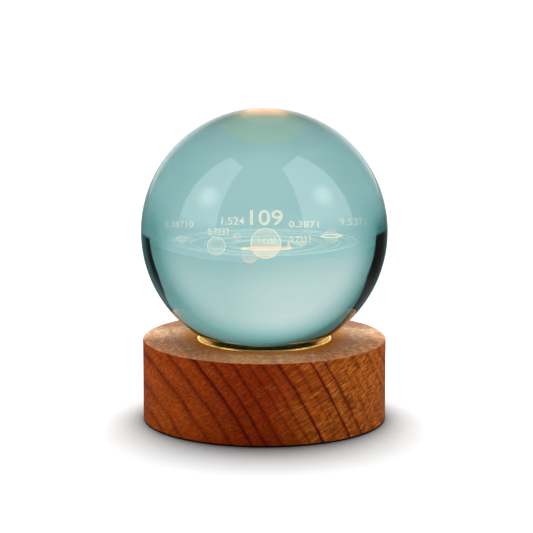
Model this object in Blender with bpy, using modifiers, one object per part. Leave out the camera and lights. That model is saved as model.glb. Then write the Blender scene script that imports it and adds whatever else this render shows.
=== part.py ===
"""Crystal ball night light: a solid glass ball on a turned wooden base with a warm light inside.

Metres, +Z up. The origin is the middle of the underside. The front is -Y, and the power inlet and
the button are in a routed pocket at the back, +Y.

The base is laid out from the bottom up: pad, cover, control board, light board, cup, a shelf of
wood, and the ring that the ball rests in. Its radius follows the ball's.
"""

import math

import bmesh
import bpy
from mathutils import Matrix, Vector

# Ball
BALL_RADIUS = 0.0300
BALL_SINK = 0.0037  # how far the ball dips below the top of the wood
BALL_SEGMENTS = 48
BALL_RINGS = 24

# Clearances
FIT_GAP = 0.00025  # between a piece and what it rests on or sits in
SOLDER_GAP = 0.0001  # under a part soldered to a board
SLIDE_GAP = 0.0003  # around the button in its bore
CUT_OVERRUN = 0.0010  # how far a cutter runs past the wall it cuts
WELD_DISTANCE = 0.00001  # points of a new mesh closer than this become one
ROUND_STEPS = 72
RING_STEPS = 64
INNER_ROUND_STEPS = 40
BUTTON_STEPS = 32
HOLE_STEPS = 20
SCREW_STEPS = 12
ARC_STEPS = 3

# Seat ring: from its lip inwards a slope, a trough, and the conical seat that the ball bears on
RING_LIP_GAP = 0.0008  # between the lip and the ball, level with the lip's top
RING_LIP_WIDTH = 0.0010
RING_LIP_PROUD = 0.0001
RING_LIP_ROUND = 0.0003
RING_SLOPE_WIDTH = 0.0019
RING_TROUGH_WIDTH = 0.0014
SEAT_OUTER_WIDTH = 0.0016
SEAT_INNER_WIDTH = 0.0014
RING_FLOOR = 0.0010

# Wooden base
BASE_INSET = 0.0003  # how much less than the ball's its radius is
BASE_RIM_WIDTH = 0.00265  # wood around the bottom cover
BASE_EDGE_ROUND = 0.0005
CAVITY_CLEARANCE = 0.0008  # around the light board
SHELF_COVER = 0.0008  # wood left above the pilot holes in the shelf under the ring

# Screws
SCREW_SHANK_RADIUS = 0.0008
SCREW_HOLE_GAP = 0.0003
SCREW_TIP = 0.0010
SCREW_HEAD_RADIUS = 0.0015
SCREW_HEAD_HEIGHT = 0.0009
SCREW_CROSS_ARM = 0.0009
SCREW_CROSS_HALF_WIDTH = 0.0002
SCREW_CROSS_DEPTH = 0.0005
SCREW_BITE = 0.0030  # length in the wood
COVER_SCREW_BITE = 0.0052
PILOT_SPARE = 0.0006  # how much deeper than its screw a pilot hole is

# Pad and bottom cover, let into the underside
PAD_THICKNESS = 0.0012
PAD_PROUD = 0.0003  # how far the pad stands below the wood
PAD_INSET = 0.0004
PAD_HOLE_MARGIN = 0.0008  # around a screw's head
COVER_THICKNESS = 0.0016
COVER_RIM_WIDTH = 0.0010
COVER_RIM_HEIGHT = 0.0008
COVER_RIM_GAP = 0.0004
COVER_SCREW_INSET = 0.0032
COVER_SCREW_ANGLES = (40, 140, 220, 320)

# Light well: cup, lens, light board
CUP_OVERLAP = 0.0013  # how far the cup's wall reaches out under the ring
CUP_RIM_WALL = 0.00065
CUP_LEDGE = 0.0007  # under the lens
CUP_TAPER = 0.0010
CUP_FLANGE_THICKNESS = 0.0012
LENS_THICKNESS = 0.0012
LENS_BULGE = 0.0006
LENS_AIR = 0.0004  # between the ball's lowest point and the lens
LIGHT_BOARD_THICKNESS = 0.0012
LIGHT_SCREW_WALL = 0.00065  # wood between the shaft and a pilot hole
LIGHT_SCREW_MARGIN = 0.0003  # of board outside a screw's head
LIGHT_SCREW_ANGLES = (50, 130, 270)  # the first two also carry the control board
LED_COUNT = 6
LED_LENGTH = 0.0024
LED_WIDTH = 0.0020
LED_HEIGHT = 0.0007
LED_MARGIN = 0.0012  # between a chip and the cup's bore
LED_WINDOW_DEPTH = 0.0002
LED_WINDOW_RIM = 0.0003

# Control board
BOARD_ROOM = 0.00215  # between the cover and the board
BOARD_THICKNESS = 0.0012
BOARD_CORNER = 0.0008
BOARD_SIDE_MARGIN = 0.00166  # outside the socket and the button's flange
BOARD_FRONT_MARGIN = 0.0029  # from the screws to the front edge
SPACER_LENGTH = 0.0021
SPACER_WALL = 0.0010

# Power socket
SOCKET_WIDTH = 0.00894
SOCKET_HEIGHT = 0.00326
SOCKET_END_FLAT = 0.00026
SOCKET_WALL = 0.0003
SOCKET_LENGTH = 0.0073
SOCKET_SETBACK = 0.0002
SOCKET_CORE_LENGTH = 0.0022
SOCKET_CORE_GAP = 0.0001
TONGUE_SIDE_GAP = 0.00082
TONGUE_THICKNESS = 0.0007
TONGUE_LENGTH = 0.0042

# Button and its switch
PORT_GAP = 0.00373  # between the socket and the button's flange
BUTTON_RADIUS = 0.0028
BUTTON_PROUD = 0.0018
BUTTON_DISH_DEPTH = 0.0003
BUTTON_EDGE_ROUND = 0.0004
BUTTON_FLANGE_WIDTH = 0.0007
BUTTON_FLANGE_THICKNESS = 0.0008
BUTTON_HEADROOM = 0.0005
BUTTON_SOCKET_DEPTH = 0.0014
BUTTON_TRAVEL = 0.0010
BUTTON_SPARE = 0.0005  # air left behind the flange when the button is fully in
SWITCH_WIDTH = 0.0060
SWITCH_HEIGHT = 0.0032
SWITCH_BACK = 0.0005
PLUNGER_RADIUS = 0.0009
PLUNGER_ENGAGED = 0.0022
PLUNGER_GAP = 0.0001

# Routed pocket and wall at the back
POCKET_SIDE_MARGIN = 0.00246  # outside the socket and the button's flange
POCKET_HEIGHT = 0.0076
POCKET_CORNER = 0.0024
POCKET_DEPTH = 0.0033
REAR_WALL = 0.0022

# Small parts on the control board: size, then x and distance in from the board's rear edge
CHIP_SIZE = (0.0016, 0.0029, 0.0011)
CHIP_PLACE = (0.0010, 0.0075)
RESISTOR_SIZE = (0.0020, 0.0012, 0.0005)
RESISTOR_PLACES = ((-0.0026, 0.0071), (-0.0026, 0.0090))
CAPACITOR_SIZE = (0.0020, 0.0012, 0.0010)
CAPACITOR_PLACE = (0.0010, 0.0104)
CHIP_EDGE = 0.0001

# Wires from under the control board, round its front edge, to the light board
WIRE_RADIUS = 0.00045
WIRE_SPREAD = 0.0030
WIRE_DIP = 0.0006
WIRE_INSET = 0.0012
WIRE_CLEARANCE = 0.0007
WIRE_SAMPLES = 3

# Sizes and places that follow from those above, first across the lamp
BASE_RADIUS = BALL_RADIUS - BASE_INSET
RECESS_RADIUS = BASE_RADIUS - BASE_RIM_WIDTH
COVER_RADIUS = RECESS_RADIUS - FIT_GAP
PAD_RADIUS = COVER_RADIUS - PAD_INSET
SCREW_HOLE_RADIUS = SCREW_SHANK_RADIUS + SCREW_HOLE_GAP
PAD_HOLE_RADIUS = SCREW_HEAD_RADIUS + PAD_HOLE_MARGIN

LIP_INNER = math.sqrt(BALL_RADIUS**2 - (BALL_RADIUS - BALL_SINK - RING_LIP_PROUD) ** 2) + RING_LIP_GAP
RING_RADIUS = LIP_INNER + RING_LIP_WIDTH
TROUGH_OUTER = LIP_INNER - RING_SLOPE_WIDTH
SEAT_OUTER = TROUGH_OUTER - RING_TROUGH_WIDTH
SEAT_RADIUS = SEAT_OUTER - SEAT_OUTER_WIDTH  # circle of contact with the ball
SEAT_ANGLE = math.asin(SEAT_RADIUS / BALL_RADIUS)
RING_BORE = SEAT_RADIUS - SEAT_INNER_WIDTH
WELL_RADIUS = RING_RADIUS + FIT_GAP

CUP_RADIUS = RING_BORE + CUP_OVERLAP
SHAFT_RADIUS = CUP_RADIUS + FIT_GAP
LENS_RADIUS = CUP_RADIUS - CUP_RIM_WALL - FIT_GAP
CUP_BORE_TOP = LENS_RADIUS - CUP_LEDGE
CUP_BORE_BOTTOM = CUP_BORE_TOP - CUP_TAPER
LIGHT_SCREW_CIRCLE = SHAFT_RADIUS + LIGHT_SCREW_WALL + SCREW_HOLE_RADIUS
CUP_FLANGE_RADIUS = LIGHT_SCREW_CIRCLE + SCREW_HEAD_RADIUS + LIGHT_SCREW_MARGIN
CAVITY_RADIUS = CUP_FLANGE_RADIUS + CAVITY_CLEARANCE
LED_CIRCLE = CUP_BORE_BOTTOM - LED_MARGIN - LED_WIDTH / 2
COVER_RIM_RADIUS = CAVITY_RADIUS - COVER_RIM_GAP

BUTTON_FLANGE_RADIUS = BUTTON_RADIUS + BUTTON_FLANGE_WIDTH
PORTS_WIDTH = SOCKET_WIDTH + PORT_GAP + 2 * BUTTON_FLANGE_RADIUS
SOCKET_X = (SOCKET_WIDTH - PORTS_WIDTH) / 2
BUTTON_X = PORTS_WIDTH / 2 - BUTTON_FLANGE_RADIUS
SOCKET_CORNER = (SOCKET_HEIGHT - SOCKET_END_FLAT) / 2
POCKET_WIDTH = PORTS_WIDTH + 2 * POCKET_SIDE_MARGIN
BOARD_WIDTH = PORTS_WIDTH + 2 * BOARD_SIDE_MARGIN

POCKET_FLOOR = BASE_RADIUS - POCKET_DEPTH
CAVITY_REAR = POCKET_FLOOR - REAR_WALL
FLANGE_REAR = CAVITY_REAR - FIT_GAP
FLANGE_FRONT = FLANGE_REAR - BUTTON_FLANGE_THICKNESS
SWITCH_REAR = FLANGE_FRONT - BUTTON_TRAVEL - BUTTON_SPARE
SWITCH_BORE_DEPTH = PLUNGER_ENGAGED + BUTTON_TRAVEL + BUTTON_SPARE
SWITCH_LENGTH = SWITCH_BORE_DEPTH + SWITCH_BACK
BOARD_REAR = CAVITY_REAR - FIT_GAP
BOARD_FRONT = LIGHT_SCREW_CIRCLE * math.sin(math.radians(LIGHT_SCREW_ANGLES[0])) - BOARD_FRONT_MARGIN
BOARD_LENGTH = BOARD_REAR - BOARD_FRONT

# Then from the bottom up
COVER_BOTTOM = PAD_THICKNESS + FIT_GAP
COVER_TOP = COVER_BOTTOM + COVER_THICKNESS
COVER_RECESS_TOP = COVER_TOP + FIT_GAP
BOARD_BOTTOM = COVER_TOP + BOARD_ROOM
BOARD_TOP = BOARD_BOTTOM + BOARD_THICKNESS
SOCKET_Z = BOARD_TOP + SOLDER_GAP + SOCKET_HEIGHT / 2
BUTTON_Z = BOARD_TOP + SOLDER_GAP + SWITCH_HEIGHT / 2
BAY_TOP = BUTTON_Z + BUTTON_FLANGE_RADIUS + BUTTON_HEADROOM
SPACER_BOTTOM = BOARD_TOP + FIT_GAP
LIGHT_BOARD_BOTTOM = SPACER_BOTTOM + SPACER_LENGTH + FIT_GAP
LIGHT_BOARD_TOP = LIGHT_BOARD_BOTTOM + LIGHT_BOARD_THICKNESS
FLANGE_BOTTOM = LIGHT_BOARD_TOP + FIT_GAP
FLANGE_TOP = FLANGE_BOTTOM + CUP_FLANGE_THICKNESS
CAVITY_TOP = FLANGE_TOP + FIT_GAP
WELL_FLOOR = CAVITY_TOP + SCREW_BITE + PILOT_SPARE + SHELF_COVER
RING_BOTTOM = WELL_FLOOR + FIT_GAP

# The conical seat is parallel to the ball at the circle of contact, and the ball's height follows
SEAT_SLOPE = math.tan(SEAT_ANGLE)
CONTACT_RADIUS = SEAT_RADIUS + FIT_GAP * math.sin(SEAT_ANGLE)
CONTACT_Z = RING_BOTTOM + RING_FLOOR + (CONTACT_RADIUS - RING_BORE) * SEAT_SLOPE
BALL_Z = CONTACT_Z + (BALL_RADIUS + FIT_GAP) * math.cos(SEAT_ANGLE)
BALL_BOTTOM = BALL_Z - BALL_RADIUS
WOOD_TOP = BALL_BOTTOM + BALL_SINK
WOOD_BOTTOM = PAD_PROUD
LENS_TOP = min(BALL_BOTTOM, RING_BOTTOM) - LENS_AIR
CUP_TOP = RING_BOTTOM - FIT_GAP


def seat_height(radius):
    return CONTACT_Z + (radius - CONTACT_RADIUS) * SEAT_SLOPE


def collection_named(name):
    collection = bpy.data.collections.new(name)
    bpy.context.scene.collection.children.link(collection)
    return collection


for old in list(bpy.data.objects):
    bpy.data.objects.remove(old, do_unlink=True)
PARTS = collection_named("crystal_ball_lamp")
CUTTERS = collection_named("cutters")
ROOT = bpy.data.objects.new("lamp_root", None)
PARTS.objects.link(ROOT)


def material(name, colour, roughness, metallic=0.0, transmission=0.0):
    made = bpy.data.materials.new(name)
    made.use_nodes = True
    shader = made.node_tree.nodes["Principled BSDF"]
    shader.inputs["Base Color"].default_value = (*colour, 1.0)
    shader.inputs["Roughness"].default_value = roughness
    shader.inputs["Metallic"].default_value = metallic
    shader.inputs["Transmission Weight"].default_value = transmission
    made.diffuse_color = (*colour, 1.0)
    return made


GLASS = material("tinted_glass", (0.50, 0.74, 0.73), 0.02, transmission=1.0)
WOOD = material("oiled_wood", (0.42, 0.17, 0.07), 0.55)
GOLD = material("polished_gold_metal", (0.90, 0.63, 0.22), 0.18, metallic=1.0)
FROSTED = material("frosted_acrylic", (0.95, 0.90, 0.78), 0.45, transmission=0.6)
WHITE_PLASTIC = material("white_plastic", (0.86, 0.85, 0.81), 0.45)
BLACK_PLASTIC = material("black_plastic", (0.03, 0.03, 0.03), 0.45)
BOARD_WHITE = material("white_board", (0.82, 0.83, 0.80), 0.40)
BOARD_GREEN = material("green_board", (0.03, 0.22, 0.10), 0.40)
LED_YELLOW = material("led_phosphor", (0.95, 0.78, 0.30), 0.35)
STEEL = material("plated_steel", (0.62, 0.62, 0.63), 0.28, metallic=1.0)
PAD_RUBBER = material("pad_rubber", (0.02, 0.02, 0.02), 0.85)
CERAMIC = material("ceramic_part", (0.45, 0.33, 0.22), 0.50)
WIRE_RED = material("red_wire", (0.55, 0.03, 0.03), 0.45)
WIRE_BLACK = material("black_wire", (0.02, 0.02, 0.02), 0.45)


def place(obj, paint=None, location=(0, 0, 0), rotation=(0, 0, 0), collection=PARTS):
    """Links an object, gives it its material and place, and parents a part to the lamp's root."""
    collection.objects.link(obj)
    obj.location = location
    obj.rotation_euler = rotation
    if collection is PARTS:
        obj.parent = ROOT
        obj.data.materials.clear()
        obj.data.materials.append(paint)
    else:
        obj.hide_render = True
        obj.display_type = "WIRE"
    return obj


def mesh_object(name, bm, smooth=True):
    mesh = bpy.data.meshes.new(name)
    bm.to_mesh(mesh)
    bm.free()
    if smooth:
        mesh.shade_smooth()
        mesh.set_sharp_from_angle(angle=math.radians(35))
    return bpy.data.objects.new(name, mesh)


def block(name, size):
    """A box with its middle at the object's origin."""
    bm = bmesh.new()
    bmesh.ops.create_cube(bm, size=1)
    bmesh.ops.scale(bm, vec=size, verts=bm.verts)
    return mesh_object(name, bm, smooth=False)


def rod(name, radius, length, steps=HOLE_STEPS, end_radius=None):
    """A cylinder, or a cone where the far end differs, along local Z from the origin."""
    bm = bmesh.new()
    far = radius if end_radius is None else end_radius
    bmesh.ops.create_cone(bm, cap_ends=True, segments=steps, radius1=radius, radius2=far, depth=length)
    bmesh.ops.translate(bm, vec=(0, 0, length / 2), verts=bm.verts)
    return mesh_object(name, bm)


def turned(name, profile, steps=ROUND_STEPS, closed=False):
    """A profile of (radius, height) points turned about Z. It runs down the outer side."""
    bm = bmesh.new()
    points = [bm.verts.new((radius, 0, height)) for radius, height in profile]
    for first, second in zip(points, points[1:]):
        bm.edges.new((first, second))
    if closed:
        bm.edges.new((points[-1], points[0]))
    obj = mesh_object(name, bm, smooth=False)
    screw = obj.modifiers.new("turn", "SCREW")
    screw.steps = steps
    screw.render_steps = steps
    screw.use_merge_vertices = True
    screw.merge_threshold = WELD_DISTANCE
    screw.use_normal_calculate = False
    screw.use_smooth_shade = True
    return obj


def arc(centre, radius, start, end, steps=ARC_STEPS):
    """Points of a circular arc in a profile, from one angle in degrees to another."""
    angles = [math.radians(start + (end - start) * i / steps) for i in range(steps + 1)]
    return [(centre[0] + radius * math.cos(a), centre[1] + radius * math.sin(a)) for a in angles]


def rounded_outline(width, height, corner, steps=ARC_STEPS):
    half_width = width / 2 - corner
    half_height = height / 2 - corner
    centres = ((half_width, half_height), (-half_width, half_height))
    centres += ((-half_width, -half_height), (half_width, -half_height))
    points = []
    for quarter, centre in enumerate(centres):
        points += arc(centre, corner, 90 * quarter, 90 * quarter + 90, steps)
    return points


def stepped_outline(width, length, corner, step_x, step_depth):
    """A board's outline about its middle, with its rear edge set back to the right of step_x."""
    left, right, front, rear = -width / 2, width / 2, -length / 2, length / 2
    points = [(left + corner, front), (right - corner, front), (right, front + corner)]
    points += [(right, rear - step_depth - corner), (right - corner, rear - step_depth)]
    points += [(step_x, rear - step_depth), (step_x, rear - corner), (step_x - corner, rear)]
    return points + [(left + corner, rear), (left, rear - corner), (left, front + corner)]


def cross_outline(arm, half_width):
    quarter = [(arm, -half_width), (arm, half_width), (half_width, half_width)]
    points = []
    for turn in range(4):
        spin = Matrix.Rotation(math.radians(90 * turn), 2)
        points += [tuple(spin @ Vector(point)) for point in quarter]
    return points


def solid_outline(name, outlines, thickness):
    """A flat outline, with any holes, thickened about local Z = 0 and made a welded mesh."""
    curve = bpy.data.curves.new(name, "CURVE")
    curve.dimensions = "2D"
    curve.fill_mode = "BOTH"
    curve.extrude = thickness / 2
    for outline in outlines:
        spline = curve.splines.new("POLY")
        spline.points.add(len(outline) - 1)
        for point, (x, y) in zip(spline.points, outline):
            point.co = (x, y, 0, 1)
        spline.use_cyclic_u = True
    drawn = bpy.data.objects.new(name + "_outline", curve)
    return welded_mesh(name, drawn)


def welded_mesh(name, source):
    """Makes a mesh object of what the viewport shows of the source, which is removed."""
    bpy.context.scene.collection.objects.link(source)
    graph = bpy.context.evaluated_depsgraph_get()
    mesh = bpy.data.meshes.new_from_object(source.evaluated_get(graph))
    bm = bmesh.new()
    bm.from_mesh(mesh)
    bmesh.ops.remove_doubles(bm, verts=bm.verts, dist=WELD_DISTANCE)
    bmesh.ops.recalc_face_normals(bm, faces=bm.faces)
    bpy.data.meshes.remove(mesh)
    bpy.data.objects.remove(source)
    return mesh_object(name, bm)


def boolean(obj, tool, operation="DIFFERENCE"):
    modifier = obj.modifiers.new(tool.name, "BOOLEAN")
    modifier.operation = operation
    modifier.object = tool
    modifier.solver = "EXACT"
    return obj


def cut(obj, tool, location, rotation=(0, 0, 0)):
    """Cuts a part with a tool placed in the world. The tool stays hidden."""
    place(tool, location=location, rotation=rotation, collection=CUTTERS)
    return boolean(obj, tool)


def bevel(obj, width, segments=1):
    modifier = obj.modifiers.new("edges", "BEVEL")
    modifier.width = width
    modifier.segments = segments
    modifier.limit_method = "ANGLE"
    return obj


def on_circle(radius, degrees):
    return radius * math.cos(math.radians(degrees)), radius * math.sin(math.radians(degrees))


TOWARDS_BACK = (math.radians(-90), 0, 0)  # turns local Z to +Y
COVER_SCREWS = [on_circle(COVER_RADIUS - COVER_SCREW_INSET, a) for a in COVER_SCREW_ANGLES]
LIGHT_SCREWS = [on_circle(LIGHT_SCREW_CIRCLE, a) for a in LIGHT_SCREW_ANGLES]
BOARD_SCREWS = LIGHT_SCREWS[:2]


def make_ball():
    bm = bmesh.new()
    bmesh.ops.create_uvsphere(bm, u_segments=BALL_SEGMENTS, v_segments=BALL_RINGS, radius=BALL_RADIUS)
    place(mesh_object("glass_ball", bm), GLASS, location=(0, 0, BALL_Z))


def make_seat_ring():
    """Polished ring in the top of the wood: a rounded lip, a slope, a trough and a conical seat."""
    lip_top = WOOD_TOP + RING_LIP_PROUD
    trough = seat_height(SEAT_OUTER)
    inner_centre = (LIP_INNER + RING_LIP_ROUND, lip_top - RING_LIP_ROUND)
    outer_centre = (RING_RADIUS - RING_LIP_ROUND, lip_top - RING_LIP_ROUND)
    profile = arc(inner_centre, RING_LIP_ROUND, 140, 90)
    profile += arc(outer_centre, RING_LIP_ROUND, 90, 0)
    profile += [(RING_RADIUS, RING_BOTTOM), (RING_BORE, RING_BOTTOM)]
    profile += [(RING_BORE, seat_height(RING_BORE)), (SEAT_OUTER, trough), (TROUGH_OUTER, trough)]
    place(turned("seat_ring", profile, RING_STEPS, closed=True), GOLD)


def make_base():
    """Turned wooden base: light well, shaft and cavity, routed pocket, inlet, button bore, pilots."""
    outer = BASE_RADIUS - BASE_EDGE_ROUND
    profile = [(WELL_RADIUS, WOOD_TOP)]
    profile += arc((outer, WOOD_TOP - BASE_EDGE_ROUND), BASE_EDGE_ROUND, 90, 0)
    profile += arc((outer, WOOD_BOTTOM + BASE_EDGE_ROUND), BASE_EDGE_ROUND, 0, -90)
    profile += [(RECESS_RADIUS, WOOD_BOTTOM), (RECESS_RADIUS, COVER_RECESS_TOP)]
    profile += [(CAVITY_RADIUS, COVER_RECESS_TOP), (CAVITY_RADIUS, CAVITY_TOP)]
    profile += [(SHAFT_RADIUS, CAVITY_TOP), (SHAFT_RADIUS, WELL_FLOOR), (WELL_RADIUS, WELL_FLOOR)]
    base = place(turned("wooden_base", profile, closed=True), WOOD)

    bay_bottom = COVER_RECESS_TOP - FIT_GAP
    bay_height = BAY_TOP - bay_bottom
    bay = block("board_bay_cutter", (BOARD_WIDTH + 2 * FIT_GAP, CAVITY_REAR, bay_height))
    cut(base, bay, (0, CAVITY_REAR / 2, bay_bottom + bay_height / 2))

    pocket_outline = rounded_outline(POCKET_WIDTH, POCKET_HEIGHT, POCKET_CORNER)
    pocket_depth = POCKET_DEPTH + CUT_OVERRUN
    pocket = solid_outline("pocket_cutter", [pocket_outline], pocket_depth)
    cut(base, pocket, (0, POCKET_FLOOR + pocket_depth / 2, SOCKET_Z), TOWARDS_BACK)

    wall_cut = REAR_WALL + 2 * CUT_OVERRUN
    slot_outline = rounded_outline(
        SOCKET_WIDTH + 2 * FIT_GAP, SOCKET_HEIGHT + 2 * FIT_GAP, SOCKET_CORNER + FIT_GAP
    )
    slot = solid_outline("socket_slot_cutter", [slot_outline], wall_cut)
    cut(base, slot, (SOCKET_X, CAVITY_REAR + REAR_WALL / 2, SOCKET_Z), TOWARDS_BACK)

    bore = rod("button_bore_cutter", BUTTON_RADIUS + SLIDE_GAP, wall_cut, BUTTON_STEPS)
    cut(base, bore, (BUTTON_X, CAVITY_REAR - CUT_OVERRUN, BUTTON_Z), TOWARDS_BACK)

    for label, places, mouth, bite in (
        ("cover", COVER_SCREWS, COVER_RECESS_TOP, COVER_SCREW_BITE),
        ("light", LIGHT_SCREWS, CAVITY_TOP, SCREW_BITE),
    ):
        for number, (x, y) in enumerate(places, 1):
            name = f"{label}_pilot_cutter_{number}"
            pilot = rod(name, SCREW_HOLE_RADIUS, bite + PILOT_SPARE + CUT_OVERRUN, SCREW_STEPS)
            cut(base, pilot, (x, y, mouth - CUT_OVERRUN))


def make_light_cup():
    """White reflector cup with a screwed flange below and a step for the lens above."""
    lens_step = LENS_TOP - LENS_THICKNESS - FIT_GAP
    mouth = LENS_RADIUS + FIT_GAP
    profile = [(mouth, CUP_TOP), (CUP_RADIUS, CUP_TOP), (CUP_RADIUS, FLANGE_TOP)]
    profile += [(CUP_FLANGE_RADIUS, FLANGE_TOP), (CUP_FLANGE_RADIUS, FLANGE_BOTTOM)]
    profile += [(CUP_BORE_BOTTOM, FLANGE_BOTTOM), (CUP_BORE_TOP, lens_step), (mouth, lens_step)]
    cup = place(turned("light_cup", profile, INNER_ROUND_STEPS, closed=True), WHITE_PLASTIC)
    for number, (x, y) in enumerate(LIGHT_SCREWS, 1):
        length = CUP_FLANGE_THICKNESS + 2 * CUT_OVERRUN
        hole = rod(f"cup_hole_cutter_{number}", SCREW_HOLE_RADIUS, length, SCREW_STEPS)
        cut(cup, hole, (x, y, FLANGE_BOTTOM - CUT_OVERRUN))


def make_lens():
    """Frosted lens, flat above and bulging downwards inside the cup."""
    rim_bottom = LENS_TOP - LENS_THICKNESS
    bulge_radius = CUP_BORE_TOP - FIT_GAP
    sphere = (bulge_radius**2 + LENS_BULGE**2) / (2 * LENS_BULGE)
    reach = math.degrees(math.asin(bulge_radius / sphere))
    centre = (0, rim_bottom - LENS_BULGE + sphere)
    profile = [(0, LENS_TOP), (LENS_RADIUS, LENS_TOP), (LENS_RADIUS, rim_bottom)]
    profile += arc(centre, sphere, reach - 90, -90)
    place(turned("light_lens", profile, INNER_ROUND_STEPS), FROSTED)


def make_light_board():
    board = rod("light_board", CUP_FLANGE_RADIUS, LIGHT_BOARD_THICKNESS, INNER_ROUND_STEPS)
    place(board, BOARD_WHITE, location=(0, 0, LIGHT_BOARD_BOTTOM))
    for number, (x, y) in enumerate(LIGHT_SCREWS, 1):
        length = LIGHT_BOARD_THICKNESS + 2 * CUT_OVERRUN
        hole = rod(f"light_board_hole_cutter_{number}", SCREW_HOLE_RADIUS, length, SCREW_STEPS)
        cut(board, hole, (x, y, LIGHT_BOARD_BOTTOM - CUT_OVERRUN))


def make_leds():
    """Light-emitting chips in a circle, each with a shallow window in its top face."""
    height = LIGHT_BOARD_TOP + SOLDER_GAP + LED_HEIGHT / 2
    for number in range(1, LED_COUNT + 1):
        degrees = 360 * (number - 1) / LED_COUNT
        x, y = on_circle(LED_CIRCLE, degrees)
        turn = (0, 0, math.radians(degrees))
        led = block(f"led_{number}", (LED_WIDTH, LED_LENGTH, LED_HEIGHT))
        place(led, LED_YELLOW, (x, y, height), turn)
        opening = (LED_WIDTH - 2 * LED_WINDOW_RIM, LED_LENGTH - 2 * LED_WINDOW_RIM)
        window = block(f"led_window_cutter_{number}", (*opening, 2 * LED_WINDOW_DEPTH))
        cut(led, window, (x, y, height + LED_HEIGHT / 2), turn)


def screw_mesh(name, length, countersunk):
    """A screw pointing up local Z, with the underside of its head at the origin."""
    head_bottom = -SCREW_HEAD_HEIGHT
    tip = [(0, length), (SCREW_SHANK_RADIUS, length - SCREW_TIP)]
    if countersunk:
        body = tip + [(SCREW_SHANK_RADIUS, 0), (SCREW_HEAD_RADIUS, head_bottom), (0, head_bottom)]
    else:
        crown = (SCREW_HEAD_RADIUS + SCREW_SHANK_RADIUS) / 2
        body = tip + [(SCREW_SHANK_RADIUS, 0), (SCREW_HEAD_RADIUS, 0)]
        body += [(SCREW_HEAD_RADIUS, head_bottom / 2), (crown, head_bottom), (0, head_bottom)]
    screw = turned(name + "_turned", body, SCREW_STEPS)
    bpy.context.scene.collection.objects.link(screw)
    cross = solid_outline(
        name + "_cross", [cross_outline(SCREW_CROSS_ARM, SCREW_CROSS_HALF_WIDTH)], 2 * SCREW_CROSS_DEPTH
    )
    bpy.context.scene.collection.objects.link(cross)
    cross.location = (0, 0, head_bottom)
    boolean(screw, cross)
    bpy.context.view_layer.update()
    graph = bpy.context.evaluated_depsgraph_get()
    mesh = bpy.data.meshes.new_from_object(screw.evaluated_get(graph))
    mesh.name = name
    bpy.data.objects.remove(screw)
    bpy.data.objects.remove(cross)
    return mesh


def make_screws():
    """Four screws hold the cover. Three hold the light board, two of them the control board too."""
    tip = CAVITY_TOP + SCREW_BITE
    rear_seat = BOARD_BOTTOM - FIT_GAP
    front_seat = LIGHT_BOARD_BOTTOM - FIT_GAP
    cover_seat = COVER_BOTTOM + SCREW_HEAD_HEIGHT
    cover_length = COVER_RECESS_TOP + COVER_SCREW_BITE - cover_seat
    for label, places, height, length, countersunk in (
        ("board_screw", BOARD_SCREWS, rear_seat, tip - rear_seat, False),
        ("light_screw", LIGHT_SCREWS[2:], front_seat, tip - front_seat, False),
        ("cover_screw", COVER_SCREWS, cover_seat, cover_length, True),
    ):
        mesh = screw_mesh(label, length, countersunk)
        for number, (x, y) in enumerate(places, 1):
            name = label if len(places) == 1 else f"{label}_{number}"
            place(bpy.data.objects.new(name, mesh), STEEL, (x, y, height))


def make_control_board():
    step_x = BUTTON_X - BUTTON_FLANGE_RADIUS - SLIDE_GAP
    outline = stepped_outline(BOARD_WIDTH, BOARD_LENGTH, BOARD_CORNER, step_x, BOARD_REAR - SWITCH_REAR)
    board = solid_outline("control_board", [outline], BOARD_THICKNESS)
    middle = (0, (BOARD_FRONT + BOARD_REAR) / 2, BOARD_BOTTOM + BOARD_THICKNESS / 2)
    place(board, BOARD_GREEN, location=middle)
    for number, (x, y) in enumerate(BOARD_SCREWS, 1):
        length = BOARD_THICKNESS + 2 * CUT_OVERRUN
        hole = rod(f"control_board_hole_cutter_{number}", SCREW_HOLE_RADIUS, length, SCREW_STEPS)
        cut(board, hole, (x, y, BOARD_BOTTOM - CUT_OVERRUN))
        bore, outer = SCREW_HOLE_RADIUS, SCREW_HOLE_RADIUS + SPACER_WALL
        profile = [(bore, SPACER_LENGTH), (outer, SPACER_LENGTH), (outer, 0), (bore, 0)]
        spacer = turned(f"board_spacer_{number}", profile, HOLE_STEPS, closed=True)
        place(spacer, WHITE_PLASTIC, (x, y, SPACER_BOTTOM))


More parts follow.
